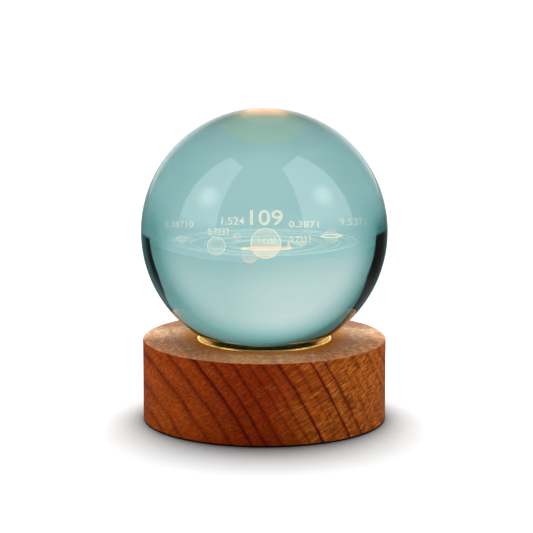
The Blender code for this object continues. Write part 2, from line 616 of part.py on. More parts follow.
def make_power_socket():
    """Power socket: a drawn shell with a core whose thin tongue stands in the mouth."""
    mouth = POCKET_FLOOR - SOCKET_SETBACK
    outer = rounded_outline(SOCKET_WIDTH, SOCKET_HEIGHT, SOCKET_CORNER)
    inner_width = SOCKET_WIDTH - 2 * SOCKET_WALL
    inner_height = SOCKET_HEIGHT - 2 * SOCKET_WALL
    inner = rounded_outline(inner_width, inner_height, SOCKET_CORNER - SOCKET_WALL)
    shell = solid_outline("socket_shell", [outer, inner], SOCKET_LENGTH)
    place(shell, STEEL, (SOCKET_X, mouth - SOCKET_LENGTH / 2, SOCKET_Z), TOWARDS_BACK)

    core_outline = rounded_outline(
        inner_width - 2 * SOCKET_CORE_GAP,
        inner_height - 2 * SOCKET_CORE_GAP,
        SOCKET_CORNER - SOCKET_WALL - SOCKET_CORE_GAP,
    )
    core = solid_outline("socket_core", [core_outline], SOCKET_CORE_LENGTH)
    core_middle = mouth - SOCKET_LENGTH + SOCKET_CORE_LENGTH / 2
    place(core, BLACK_PLASTIC, (SOCKET_X, core_middle, SOCKET_Z), TOWARDS_BACK)
    reach = TONGUE_LENGTH + SOCKET_CORE_LENGTH / 2
    tongue_width = inner_width - 2 * TONGUE_SIDE_GAP
    tongue = block("socket_tongue_tool", (tongue_width, reach, TONGUE_THICKNESS))
    place(tongue, location=(SOCKET_X, core_middle + reach / 2, SOCKET_Z), collection=CUTTERS)
    boolean(core, tongue, "UNION")


def make_button():
    """Push button: switch body on the board, plunger in it, and a dished cap through the wall."""
    switch_middle = SWITCH_REAR - SWITCH_LENGTH / 2
    body = block("switch_body", (SWITCH_WIDTH, SWITCH_LENGTH, SWITCH_HEIGHT))
    place(body, BLACK_PLASTIC, (BUTTON_X, switch_middle, BUTTON_Z))
    bore = rod("switch_bore_cutter", PLUNGER_RADIUS + FIT_GAP, SWITCH_BORE_DEPTH + CUT_OVERRUN)
    cut(body, bore, (BUTTON_X, SWITCH_REAR - SWITCH_BORE_DEPTH, BUTTON_Z), TOWARDS_BACK)

    plunger_front = SWITCH_REAR - PLUNGER_ENGAGED
    plunger_rear = FLANGE_FRONT + BUTTON_SOCKET_DEPTH - FIT_GAP
    plunger = rod("switch_plunger", PLUNGER_RADIUS, plunger_rear - plunger_front)
    place(plunger, WHITE_PLASTIC, (BUTTON_X, plunger_front, BUTTON_Z), TOWARDS_BACK)

    top = POCKET_FLOOR + BUTTON_PROUD - FLANGE_FRONT
    shoulder = FLANGE_REAR - FLANGE_FRONT
    dish = BUTTON_RADIUS - BUTTON_EDGE_ROUND
    socket = PLUNGER_RADIUS + PLUNGER_GAP
    sphere = (dish**2 + BUTTON_DISH_DEPTH**2) / (2 * BUTTON_DISH_DEPTH)
    reach = math.degrees(math.asin(dish / sphere))
    profile = arc((0, top - BUTTON_DISH_DEPTH + sphere), sphere, -90, reach - 90)
    profile += arc((dish, top - BUTTON_EDGE_ROUND), BUTTON_EDGE_ROUND, 90, 0)[1:]
    profile += [(BUTTON_RADIUS, shoulder), (BUTTON_FLANGE_RADIUS, shoulder), (BUTTON_FLANGE_RADIUS, 0)]
    profile += [(socket, 0), (socket, BUTTON_SOCKET_DEPTH), (0, BUTTON_SOCKET_DEPTH)]
    cap = turned("button_cap", profile, BUTTON_STEPS)
    place(cap, BLACK_PLASTIC, (BUTTON_X, FLANGE_FRONT, BUTTON_Z), TOWARDS_BACK)


def make_small_part(name, size, spot, paint):
    """A chip, resistor or capacitor on top of the control board."""
    x, inset = spot
    height = BOARD_TOP + SOLDER_GAP + size[2] / 2
    part = bevel(block(name, size), CHIP_EDGE)
    place(part, paint, (x, BOARD_REAR - inset, height))


def smooth_path(route, samples):
    """Points along a smooth curve through the route's own points."""
    ends = [2 * route[0] - route[1], *route, 2 * route[-1] - route[-2]]
    path = []
    for a, b, c, d in zip(ends, ends[1:], ends[2:], ends[3:]):
        for i in range(samples):
            t = i / samples
            tangent_in, tangent_out = (c - a) / 2, (d - b) / 2
            h1, h2 = 2 * t**3 - 3 * t**2 + 1, t**3 - 2 * t**2 + t
            h3, h4 = -2 * t**3 + 3 * t**2, t**3 - t**2
            path.append(h1 * b + h2 * tangent_in + h3 * c + h4 * tangent_out)
    return [*path, route[-1]]


def make_wire(name, x, paint):
    """A wire from under the control board, round its front edge and up to the light board."""
    start = Vector((x, BOARD_FRONT + WIRE_INSET, BOARD_BOTTOM - FIT_GAP))
    low = start.z - WIRE_DIP
    rise = BOARD_FRONT - WIRE_CLEARANCE - WIRE_RADIUS
    end = Vector((x, rise - WIRE_INSET / 2, LIGHT_BOARD_BOTTOM - FIT_GAP))
    route = [
        start,
        Vector((x, start.y - WIRE_DIP / 2, low)),
        Vector((x, BOARD_FRONT, low - WIRE_DIP / 4)),
        Vector((x, rise, BOARD_BOTTOM)),
        Vector((x, (rise + end.y) / 2, (BOARD_TOP + end.z) / 2)),
        end,
    ]
    curve = bpy.data.curves.new(name, "CURVE")
    curve.dimensions = "3D"
    curve.bevel_depth = WIRE_RADIUS
    curve.bevel_resolution = 1
    curve.use_fill_caps = True
    path = smooth_path(route, WIRE_SAMPLES)
    spline = curve.splines.new("POLY")
    spline.points.add(len(path) - 1)
    for point, at in zip(spline.points, path):
        point.co = (*at, 1)
    place(bpy.data.objects.new(name, curve), paint)


def make_bottom():
    """Bottom cover with a stiffening rim inside, and the pad that the lamp stands on."""
    rim_inner = COVER_RIM_RADIUS - COVER_RIM_WIDTH
    rim_top = COVER_TOP + COVER_RIM_HEIGHT
    profile = [(0, COVER_TOP), (rim_inner, COVER_TOP), (rim_inner, rim_top)]
    profile += [(COVER_RIM_RADIUS, rim_top), (COVER_RIM_RADIUS, COVER_TOP), (COVER_RADIUS, COVER_TOP)]
    profile += [(COVER_RADIUS, COVER_BOTTOM), (0, COVER_BOTTOM)]
    cover = place(turned("bottom_cover", profile, INNER_ROUND_STEPS), BLACK_PLASTIC)
    pad = place(rod("non_slip_pad", PAD_RADIUS, PAD_THICKNESS, INNER_ROUND_STEPS), PAD_RUBBER)
    for number, (x, y) in enumerate(COVER_SCREWS, 1):
        through = COVER_THICKNESS + 2 * CUT_OVERRUN
        hole = rod(f"cover_hole_cutter_{number}", SCREW_HOLE_RADIUS, through, SCREW_STEPS)
        cut(cover, hole, (x, y, COVER_BOTTOM - CUT_OVERRUN))
        wide = SCREW_HEAD_RADIUS + FIT_GAP
        sink = rod(f"cover_sink_cutter_{number}", wide, SCREW_HEAD_HEIGHT, SCREW_STEPS, SCREW_HOLE_RADIUS)
        cut(cover, sink, (x, y, COVER_BOTTOM))
        through = PAD_THICKNESS + 2 * CUT_OVERRUN
        hole = rod(f"pad_hole_cutter_{number}", PAD_HOLE_RADIUS, through, HOLE_STEPS)
        cut(pad, hole, (x, y, -CUT_OVERRUN))


make_ball()
make_seat_ring()
make_base()
make_light_cup()
make_lens()
make_light_board()
make_leds()
make_screws()
make_control_board()
make_power_socket()
make_button()
make_small_part("driver_chip", CHIP_SIZE, CHIP_PLACE, BLACK_PLASTIC)
make_small_part("resistor_1", RESISTOR_SIZE, RESISTOR_PLACES[0], CERAMIC)
make_small_part("resistor_2", RESISTOR_SIZE, RESISTOR_PLACES[1], CERAMIC)
make_small_part("capacitor", CAPACITOR_SIZE, CAPACITOR_PLACE, CERAMIC)
make_wire("wire_positive", -WIRE_SPREAD, WIRE_RED)
make_wire("wire_negative", WIRE_SPREAD, WIRE_BLACK)
make_bottom()
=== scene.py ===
"""Crystal ball lamp: a tinted glass ball with an engraved planet chart on an oiled wooden base."""

import random
from math import asin, cos, degrees, hypot, pi, radians, sin, sqrt, tan, tau

import bmesh
import bpy
from mathutils import Matrix, Vector


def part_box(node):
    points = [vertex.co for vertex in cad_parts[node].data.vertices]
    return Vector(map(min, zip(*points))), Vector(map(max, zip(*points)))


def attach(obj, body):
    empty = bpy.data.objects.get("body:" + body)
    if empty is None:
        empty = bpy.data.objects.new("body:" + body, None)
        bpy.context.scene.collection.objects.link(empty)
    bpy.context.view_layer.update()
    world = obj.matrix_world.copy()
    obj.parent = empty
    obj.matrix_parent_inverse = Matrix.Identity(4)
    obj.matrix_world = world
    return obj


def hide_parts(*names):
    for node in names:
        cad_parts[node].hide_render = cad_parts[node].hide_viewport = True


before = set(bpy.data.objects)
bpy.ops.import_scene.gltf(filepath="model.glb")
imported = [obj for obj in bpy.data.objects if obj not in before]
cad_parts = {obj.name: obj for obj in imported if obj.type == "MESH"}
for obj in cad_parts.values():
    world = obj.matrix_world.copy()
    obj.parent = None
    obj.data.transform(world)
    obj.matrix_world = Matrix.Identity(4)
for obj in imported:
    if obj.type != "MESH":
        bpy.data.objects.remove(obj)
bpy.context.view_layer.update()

MM = 0.001
WHITE = (1.0, 1.0, 1.0)

# Places taken from the frame
BALL_LOW, BALL_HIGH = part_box("glass_ball")
BALL_CENTRE = (BALL_LOW + BALL_HIGH) / 2
BALL_RADIUS = (BALL_HIGH.z - BALL_LOW.z) / 2
WOOD_LOW, WOOD_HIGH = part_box("wooden_base")
WOOD_RADIUS = WOOD_HIGH.x
RING_LOW, RING_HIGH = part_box("seat_ring")
RING_RADIUS = RING_HIGH.x
SHELL_LOW, SHELL_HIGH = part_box("socket_shell")
SHELL_MIDDLE = (SHELL_LOW + SHELL_HIGH) / 2
CAP_LOW, CAP_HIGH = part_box("button_cap")
CAP_MIDDLE = (CAP_LOW + CAP_HIGH) / 2
PAD_LOW, PAD_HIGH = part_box("non_slip_pad")
COVER_LOW, COVER_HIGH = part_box("bottom_cover")
CUP_LOW, CUP_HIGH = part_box("light_cup")
LENS_LOW, LENS_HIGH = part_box("light_lens")
BOARD_LOW, BOARD_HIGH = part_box("control_board")

# Camera: a long lens in mm, with lengths in metres and angles in degrees
FOCAL_LENGTH = 166.7
CAMERA_DISTANCE = 0.6
CAMERA_ELEVATION = 9.8
CAMERA_PITCH = 10.62
CAMERA_SIDE = 0.00053


# Node trees

class Nodes:
    """A node tree under construction. A value may be a socket, a number, or a tuple."""

    def __init__(self, tree, output):
        self.tree = tree
        tree.nodes.clear()
        self.output = tree.nodes.new(output)

    def node(self, kind, **settings):
        made = self.tree.nodes.new("ShaderNode" + kind)
        for key, value in settings.items():
            setattr(made, key, value)
        return made

    def feed(self, socket, value):
        if isinstance(value, bpy.types.NodeSocket):
            self.tree.links.new(value, socket)
        elif socket.type == "RGBA":
            socket.default_value = (*value, 1.0)
        else:
            socket.default_value = value

    def fed(self, made, *values):
        """The first output of a node whose first inputs are fed in order."""
        for socket, value in zip(made.inputs, values):
            self.feed(socket, value)
        return made.outputs[0]

    def use(self, kind, **inputs):
        """The first output of a new node with these inputs."""
        made = self.node(kind)
        for name, value in inputs.items():
            self.feed(made.inputs[name], value)
        return made.outputs[0]

    def math(self, operation, a, b=0.0):
        return self.fed(self.node("Math", operation=operation), a, b)

    def times(self, a, b):
        return self.math("MULTIPLY", a, b)

    def plus(self, a, b):
        return self.math("ADD", a, b)

    def minus(self, a, b):
        return self.math("SUBTRACT", a, b)

    def size(self, a):
        return self.math("ABSOLUTE", a)

    def step(self, value, start, end, low=0.0, high=1.0):
        """Runs smoothly from low at start to high at end."""
        made = self.node("MapRange", interpolation_type="SMOOTHSTEP")
        return self.fed(made, value, start, end, low, high)

    def band(self, value, start, end, soft):
        """1 between start and end, with soft edges."""
        rise = self.step(value, start - soft, start + soft)
        fall = self.step(value, end - soft, end + soft, 1.0, 0.0)
        return self.times(rise, fall)

    def vector(self, operation, a, b=(0.0, 0.0, 0.0)):
        made = self.node("VectorMath", operation=operation)
        self.fed(made, a, b)
        return made.outputs["Value" if operation in ("DOT_PRODUCT", "LENGTH") else "Vector"]

    def length(self, a):
        return self.vector("LENGTH", a)

    def combine(self, x, y, z):
        return self.fed(self.node("CombineXYZ"), x, y, z)

    def grey(self, value):
        return self.combine(value, value, value)

    def separate(self, value):
        made = self.node("SeparateXYZ")
        self.feed(made.inputs[0], value)
        return made.outputs

    def here(self):
        """Place on the piece in millimetres, in the row frame at rest."""
        place = self.node("TexCoord").outputs["Object"]
        return self.vector("MULTIPLY", place, (1000.0, 1000.0, 1000.0))

    def noise(self, place, scale, detail=2.0, roughness=0.5):
        return self.use("TexNoise", Vector=place, Scale=scale, Detail=detail, Roughness=roughness)

    def stretched(self, place, stretch, detail=2.0, roughness=0.5):
        return self.noise(self.vector("MULTIPLY", place, stretch), 1.0, detail, roughness)

    def ramp(self, value, stops):
        made = self.node("ValToRGB")
        elements = made.color_ramp.elements
        while len(elements) < len(stops):
            elements.new(0.5)
        for element, (position, colour) in zip(elements, stops):
            element.position = position
            if not isinstance(colour, tuple):
                colour = (colour,) * 3
            element.color = (*colour, 1.0)
        return self.fed(made, value)

    def curve(self, value, points):
        """Straight lines through the points, both ways from 0 to 1."""
        made = self.node("FloatCurve")
        line = made.mapping.curves[0]
        line.points[0].location = points[0]
        line.points[1].location = points[-1]
        for x, y in points[1:-1]:
            line.points.new(x, y)
        for point in line.points:
            point.handle_type = "VECTOR"
        made.mapping.update()
        self.feed(made.inputs["Value"], value)
        return made.outputs[0]

    def blend(self, factor, a, b, mode="MIX"):
        made = self.node("Mix", data_type="RGBA", blend_type=mode)
        self.feed(made.inputs[0], factor)
        self.feed(made.inputs[6], a)
        self.feed(made.inputs[7], b)
        return made.outputs[2]

    def layers(self, colour, coats):
        """The colour under coats of (how much, colour), the last one on top."""
        for factor, coat in coats:
            colour = self.blend(factor, colour, coat)
        return colour

    def shade(self, colour, factor, value):
        return self.blend(factor, colour, self.grey(value), "MULTIPLY")

    def bump(self, height, depth, strength):
        return self.use("Bump", Height=height, Distance=depth, Strength=strength)

    def rays(self):
        made = self.node("LightPath")
        return [made.outputs[f"Is {kind} Ray"] for kind in ("Camera", "Glossy", "Transmission")]

    def finish(self, shader):
        self.tree.links.new(shader, self.output.inputs["Surface"])


def blank(name):
    """A new material and its empty node tree."""
    made = bpy.data.materials.new(name)
    made.use_nodes = True
    return made, Nodes(made.node_tree, "ShaderNodeOutputMaterial")


def surface(name, build):
    """A material whose principled shader takes the inputs that build returns."""
    made, n = blank(name)
    n.finish(n.use("BsdfPrincipled", **build(n)))
    return made


# Materials

TINT = (0.432, 0.577, 0.548)
# Colour of the glass under painted shade towards its rim, from black to the full tint
PAINTED_RIM_SHADE_STOPS = (
    (0.0, (0.0, 0.0, 0.0)),
    (0.3, (0.006, 0.052, 0.049)),
    (0.6, (0.068, 0.208, 0.197)),
    (0.8, (0.194, 0.369, 0.351)),
    (1.0, TINT),
)
# Where the painted dark band along the lower rim starts: how far the glass is turned away there,
# left and right, by height from the band's foot (0) to its top (1), which are in mm from the ball's
# centre
BAND_FOOT, BAND_TOP = -27.0, 3.0
BAND_LEFT = (
    (0.0, 0.62), (0.05, 0.635), (0.11, 0.727), (0.137, 0.8), (0.233, 0.82),
    (0.36, 0.773), (0.507, 0.667), (0.63, 0.622), (1.0, 0.635),
)
BAND_RIGHT = (
    (0.0, 0.62), (0.05, 0.635), (0.11, 0.717), (0.137, 0.782), (0.22, 0.745),
    (0.36, 0.679), (0.507, 0.627), (0.63, 0.58), (1.0, 0.574),
)


def glass(n):
    """Tinted glass with a painted dark rim below the middle and painted-out reflections low down.
    """
    centre = tuple(1000 * v for v in BALL_CENTRE)
    x, _, z = n.separate(n.vector("SUBTRACT", n.here(), centre))
    facing = n.node("LayerWeight").outputs["Facing"]
    right = n.step(x, -6.0, 6.0)
    below = n.step(n.minus(z, n.times(right, 1.1)), 0.1, 0.9, 1.0, 0.0)
    low = n.step(z, -18.0, -10.0, 1.0, 0.0)

    # Painted shade: the black band, a soft painted shadow inside it, and fainter painted shade just
    # above the middle and on the right
    portion = n.math("DIVIDE", n.minus(z, BAND_FOOT), BAND_TOP - BAND_FOOT)
    left_start = n.curve(portion, BAND_LEFT)
    right_start = n.curve(portion, BAND_RIGHT)
    start = n.plus(left_start, n.times(right, n.minus(right_start, left_start)))
    rise = n.step(n.minus(facing, start), -0.01, 0.01)
    fall = n.step(n.plus(facing, n.times(right, -0.05)), 0.7, 0.9, 1.0, 0.45)
    painted_black_band = n.times(n.times(rise, n.math("MAXIMUM", fall, low)), below)
    soft = n.times(n.step(facing, 0.4, 0.66, 0.0, 0.22), below)
    soft = n.times(soft, n.minus(1.0, n.times(low, 0.85)))
    above = n.times(n.step(z, 0.8, 13.0, 0.4, 0.0), n.step(facing, 0.28, 0.6))
    painted_shade_flank = n.times(n.step(z, 1.5, 7.0, 0.55, 0.0), n.step(facing, 0.52, 0.66))

    # Painted shade towards the rim all round, more above the middle, with the painted shades above
    # laid over it
    clear = n.step(facing, 0.08, 0.4, 1.0, n.step(z, -4.0, 4.0, 0.97, 0.88))
    for shade in (painted_black_band, soft, above, n.times(painted_shade_flank, right)):
        clear = n.times(clear, n.minus(1.0, shade))
    return {
        "Base Color": n.ramp(clear, PAINTED_RIM_SHADE_STOPS),
        # Painted shade on the reflections: they are tinted out to black towards the ball's foot
        "Specular Tint": n.step(z, -21.0, -15.0, 0.0, 1.0),
        "Roughness": 0.0,
        "IOR": 1.5,
        "Transmission Weight": 1.0,
    }


# Tint of the lamp's light, painted into the etching's glow
LAMP_TINT = (1.0, 0.9, 0.78)


def etched(
    strength, solid, tone, rim=0.0, low=0.0, middle=-2.0, reach=1.5, streaks=0.0, spread=0.0
):
    """Fine white cracks in the glass with a painted glow: emission that stands in for the lamp
    below lighting them, in a warmer tone in their lower part. Solid is how dense they are, rim and
    low what is added where a sphere turns away and in its lower part, below middle."""
    def build(n):
        place = n.here()
        x, _, z = n.separate(place)
        z = n.minus(z, 1000 * BALL_CENTRE.z)
        grain = n.noise(place, 6.0, 3.0, 0.7)
        foot = n.step(z, middle - reach, middle + reach, 1.0, 0.0)
        alpha = n.step(grain, 0.3, 0.7, 0.8 * solid, 1.2 * solid)
        if streaks:
            bands = n.stretched(place, (0.5, 0.5, 2.6), 2.0, 0.5)
            alpha = n.plus(alpha, n.step(bands, 0.5, 0.62, 0.0, streaks))
        if rim:
            facing = n.node("LayerWeight").outputs["Facing"]
            alpha = n.plus(alpha, n.step(facing, 0.62, 0.92, 0.0, rim))
        if low:
            alpha = n.plus(alpha, n.times(foot, low))
        if spread:
            alpha = n.times(alpha, n.step(n.size(x), 4.5, 17.0, 1.0, spread))
        painted_lamp_tone = tuple(v * k for v, k in zip(tone, LAMP_TINT))
        speck = n.step(grain, 0.3, 0.7, 0.0, 0.35)
        return {
            "Base Color": n.blend(speck, (0.55, 0.5, 0.45), (0.42, 0.38, 0.33)),
            "Roughness": n.step(grain, 0.2, 0.8, 0.6, 0.95),
            # Painted glow in place of the lamp's light, warmer below middle
            "Emission Color": n.blend(foot, tone, painted_lamp_tone),
            "Emission Strength": n.step(grain, 0.3, 0.7, 0.9 * strength, 1.1 * strength),
            "Alpha": alpha,
        }
    return build


# Growth rings of the wood. The heart of the tree lies far to the lower left, and the fibres run
# nearly along Y, so that the front shows end grain. Lengths are in millimetres.
FIBRE = (0.131, -0.988, 0.085)
ACROSS = (0.991, 0.132, 0.0)
UPRIGHT = (-0.011, 0.084, 0.996)
HEART = (150.28, 81.28)
ARC_RADIUS = 170.0
# Each ring's radius and how dark its late wood is
RINGS = (
    (145.0, 0.5), (148.0, 0.5), (151.1, 0.5), (155.9, 0.55), (159.9, 0.6), (164.1, 1.0),
    (167.05, 0.75), (170.4, 0.65), (173.6, 0.45), (176.1, 0.55), (179.2, 1.0), (182.4, 0.3),
    (185.7, 1.0), (188.8, 0.7), (192.0, 0.35), (195.5, 0.3), (198.8, 0.4), (202.4, 0.35),
    (207.0, 0.4),
)
LATE_WOOD = (
    (0.0, 1.0), (0.065, 0.62), (0.14, 0.16), (0.3, 0.0), (0.72, 0.16), (0.87, 0.5), (0.95, 1.0),
)
# Textures: how they stretch across, round and along the rings, their detail and roughness, then
# the step that they go through
GRAIN = (
    (((0.16, 1.9, 0.5), 3.0, 0.6), (0.52, 0.68)),  # pale rays
    (((0.22, 2.6, 0.6), 2.0, 0.5), (0.6, 0.7)),  # dark rays
    (((3.4, 3.4, 0.35), 2.0, 0.6), (0.54, 0.7)),  # pores
    (((0.9, 0.12, 0.06), 3.0, 0.6), (0.35, 0.7, 0.0, 0.5)),  # streaks
    (((1.3, 2.3, 0.7), 3.0, 0.75), (0.3, 0.7, 0.58, 1.42)),  # fine grain
    (((0.32, 2.7, 0.8), 2.0, 0.6), (0.36, 0.64, 0.58, 1.45)),  # hatching
    (((0.3, 1.3, 0.45), 3.0, 0.65), (0.35, 0.65, 0.8, 1.2)),  # cross grain
)


def wood(n):
    """Oiled wood: reddish end grain round the side, and a top that is paler partly in its own tone
    and partly from painted highlights, with a painted orange glow of the lamp round the ring.
    """
    place = n.here()
    x, y, z = n.separate(place)
    across = n.plus(n.vector("DOT_PRODUCT", place, ACROSS), HEART[0])
    upward = n.plus(n.vector("DOT_PRODUCT", place, UPRIGHT), HEART[1])
    along = n.vector("DOT_PRODUCT", place, FIBRE)
    wobble = n.times(n.minus(n.noise(place, 0.12, 2.0), 0.5), 1.3)
    radius = n.plus(n.length(n.combine(across, upward, 0.0)), wobble)
    around = n.times(n.math("ARCTAN2", upward, across), ARC_RADIUS)
    grain = n.combine(radius, around, along)
    pale_rays, dark_rays, pores, streaks, fine, hatch, cross = (
        n.step(n.stretched(grain, *texture), *step) for texture, step in GRAIN
    )

    first, last = RINGS[0][0], RINGS[-1][0]
    portion = n.math("DIVIDE", n.minus(radius, first), last - first)
    count = len(RINGS) - 1
    spots = [(r - first) / (last - first) for r, _ in RINGS]
    index = n.curve(portion, [(spot, i / count) for i, spot in enumerate(spots)])
    strength = n.curve(portion, [(spot, s) for spot, (_, s) in zip(spots, RINGS)])
    late = n.ramp(n.math("FRACT", n.times(index, count)), LATE_WOOD)
    patch_place = n.combine(radius, n.times(around, 0.15), along)
    patchy = n.step(n.noise(patch_place, 0.35), 0.25, 0.7, 0.85, 1.25)
    late = n.times(n.times(late, strength), patchy)

    # The side: orange on the left, dark red in the middle and browner on the right
    right = n.step(n.plus(x, n.times(wobble, 6.0)), -4.0, 18.0)
    drift = n.times(n.minus(n.noise(place, 0.09, 2.0), 0.5), 14.0)
    heart = n.step(n.size(n.plus(n.plus(x, 3.0), drift)), 2.0, 20.0, 1.0, 0.0)
    side = n.blend(n.noise(place, 0.06, 2.0), (0.4, 0.075, 0.003), (0.29, 0.04, 0.0012))
    side = n.layers(side, (
        (n.times(right, 0.75), (0.34, 0.095, 0.0085)),
        (n.times(heart, 0.9), (0.205, 0.0165, 0.0004)),
        (streaks, (0.2, 0.024, 0.0015)),
        (n.times(pale_rays, n.step(right, 0.0, 1.0, 0.1, 0.5)), (0.54, 0.2, 0.045)),
        (n.times(dark_rays, n.step(right, 0.0, 1.0, 0.15, 0.65)), (0.14, 0.02, 0.0015)),
        (n.times(pores, 0.5), (0.11, 0.012, 0.001)),
        (late, (0.078, 0.0035, 0.0003)),
    ))
    side = n.shade(side, n.step(right, 0.0, 1.0, 1.0, 0.4), fine)
    side = n.shade(side, n.step(right, 0.0, 1.0, 0.15, 0.95), hatch)

    # The top: brown in the middle, with painted highlights that make it paler towards both ends and
    # the back
    mottle = n.noise(place, 0.45, 4.0, 0.65)
    patches = n.step(mottle, 0.3, 0.7)
    top = n.blend(patches, (0.42, 0.185, 0.062), (0.56, 0.27, 0.105))
    # Painted highlights: paler ends of the top, where it catches the light at left and right
    ends = n.blend(patches, (0.58, 0.28, 0.125), (0.72, 0.38, 0.185))
    # The back of the top, where a painted highlight makes it paler and the painted lamp glow
    # brighter
    back = n.step(n.plus(y, n.times(wobble, 5.0)), -5.0, 6.0)
    front = n.times(n.minus(1.0, back), n.step(n.size(x), 5.0, 15.0))
    top = n.layers(top, (
        (n.step(n.size(x), 8.0, 21.0), ends),
        (n.times(front, n.step(mottle, 0.35, 0.65, 0.55, 0.95)), (0.36, 0.115, 0.034)),
        (n.times(back, n.step(mottle, 0.35, 0.65, 0.25, 0.8)), (0.93, 0.6, 0.37)),
        (n.times(pores, 0.45), (0.26, 0.1, 0.03)),
        (n.times(late, 0.3), (0.26, 0.08, 0.02)),
        (n.times(pale_rays, 0.3), (0.8, 0.52, 0.36)),
    ))
    top = n.shade(n.shade(top, 0.45, fine), 1.0, cross)
    outward = n.length(n.combine(x, y, 0.0))
    far_rim = n.times(n.step(outward, 20.0, 26.0), n.step(y, 6.0, 15.0, 0.0, 0.85))
    # Painted warm glow of the lamp on the wood round the ring, brighter towards the back
    painted_lamp_glow = n.blend(back, (0.54, 0.135, 0.003), (0.92, 0.32, 0.01))
    top = n.layers(top, (
        (far_rim, (0.3, 0.125, 0.045)),
        (n.step(outward, 18.0, 22.5, 0.97, 0.0), painted_lamp_glow),
    ))

    on_top = n.step(z, 1000 * WOOD_HIGH.z - 0.09, 1000 * WOOD_HIGH.z - 0.03)
    height = n.minus(n.times(pale_rays, 0.4), n.plus(pores, n.times(late, 0.5)))
    return {
        "Base Color": n.blend(on_top, side, top),
        "Roughness": n.step(n.noise(place, 0.8, 3.0), 0.2, 0.8, 0.34, 0.48),
        "Specular IOR Level": 0.04,
        "Normal": n.bump(height, 0.03 * MM, 0.8),
    }


def gold(n):
    """Polished gold-coloured metal with faint turning marks. Its lip, ends and inner slope carry a
    painted glow.
    """
    place = n.here()
    x, y, z = n.separate(place)
    radius = n.length(n.combine(x, y, 0.0))
    marks = n.noise(n.combine(radius, 0.0, z), 14.0, 3.0, 0.6)
    film = n.noise(place, 0.35, 3.0)
    angle = n.math("ARCTAN2", x, y)
    # Painted glow in place of the lamp's light: lip edge, strongest at the ends, glints and inner
    # slope
    lip = n.step(z, 1000 * RING_HIGH.z - 0.42, 1000 * RING_HIGH.z - 0.05)
    lip = n.times(lip, n.step(radius, 15.8, 16.1))
    ends = n.step(n.size(x), 5.0, 15.0, 0.2, 1.0)
    painted_glints = n.step(n.math("COSINE", n.times(angle, 6.0)), -1.0, -0.55, 1.0, 0.0)
    breaks = n.noise(n.combine(n.times(angle, 9.0), 0.0, 0.0), 1.0, 2.0)
    flicker = n.step(breaks, 0.35, 0.6, 0.35, 1.0)
    glow = n.times(n.plus(ends, n.times(painted_glints, 0.5)), n.times(lip, flicker))
    sides = n.times(n.step(n.size(x), 10.0, 14.5, 0.0, 0.36), n.step(radius, 13.0, 14.2))
    return {
        "Base Color": n.blend(film, (0.97, 0.63, 0.18), (0.88, 0.5, 0.1)),
        "Metallic": 1.0,
        "Roughness": n.step(film, 0.2, 0.8, 0.18, 0.28),
        "Normal": n.bump(marks, 0.004 * MM, 0.5),
        "Emission Color": (1.0, 0.58, 0.13),
        "Emission Strength": n.times(n.plus(glow, sides), 0.75),
    }


def steel(n):
    place = n.here()
    film = n.noise(place, 0.9, 4.0, 0.6)
    scratches = n.stretched(place, (9.0, 0.5, 9.0), 3.0)
    return {
        "Base Color": n.blend(film, (0.66, 0.66, 0.67), (0.5, 0.5, 0.52)),
        "Metallic": 1.0,
        "Roughness": n.step(film, 0.2, 0.8, 0.2, 0.38),
        "Normal": n.bump(scratches, 0.004 * MM, 0.5),
    }


def mixed(light, dark, patches, gloss, roughness, relief=None, depth=0.02, strength=0.5):
    """Two tones in patches, with a fine texture in the gloss and in the relief."""
    def build(n):
        place = n.here()
        inputs = {
            "Base Color": n.blend(n.noise(place, *patches), light, dark),
            "Roughness": n.step(n.noise(place, *gloss), *roughness),
        }
        if relief:
            inputs["Normal"] = n.bump(n.noise(place, *relief), depth * MM, strength)
        return inputs
    return build


SPARKED = (7.0, 2.0, 0.6)


def moulded(light, dark):
    """Plastic with the fine texture of a spark-eroded mould."""
    return mixed(light, dark, (0.25, 3.0), SPARKED, (0.25, 0.75, 0.35, 0.5), SPARKED)


def insulation(light, dark):
    return mixed(light, dark, (1.5, 2.0), (5.0,), (0.3, 0.7, 0.38, 0.52), (4.0,), 0.01, 0.4)


def rubber(n):
    place = n.here()
    texture = n.noise(place, 5.0, 3.0, 0.7)
    dust = n.step(n.noise(place, 0.7, 4.0, 0.7), 0.5, 0.8, 0.0, 0.3)
    return {
        "Base Color": n.blend(dust, (0.018, 0.018, 0.019), (0.075, 0.072, 0.068)),
        "Roughness": n.step(texture, 0.25, 0.75, 0.72, 0.92),
        "Normal": n.bump(texture, 0.03 * MM, 0.6),
    }


def board(mask, copper):
    """Circuit board: solder mask over tracks that run in two directions."""
    def build(n):
        place = n.here()
        x, y, _ = n.separate(place)
        weave = n.noise(place, 3.0, 2.0)
        shaded = tuple(0.8 * v for v in mask)
        row = n.math("FRACT", n.times(x, 0.62))
        column = n.math("FRACT", n.times(y, 0.55))
        lines = n.math("MAXIMUM", n.band(row, 0.42, 0.56, 0.02), n.band(column, 0.42, 0.56, 0.02))
        tracks = n.times(lines, n.step(n.noise(place, 0.22, 1.0), 0.48, 0.52))
        return {
            "Base Color": n.blend(tracks, n.blend(weave, mask, shaded), copper),
            "Roughness": n.step(weave, 0.3, 0.7, 0.3, 0.42),
            "Normal": n.bump(tracks, 0.03 * MM, 0.8),
        }
    return build


LAMP_CIRCLE = 5.6


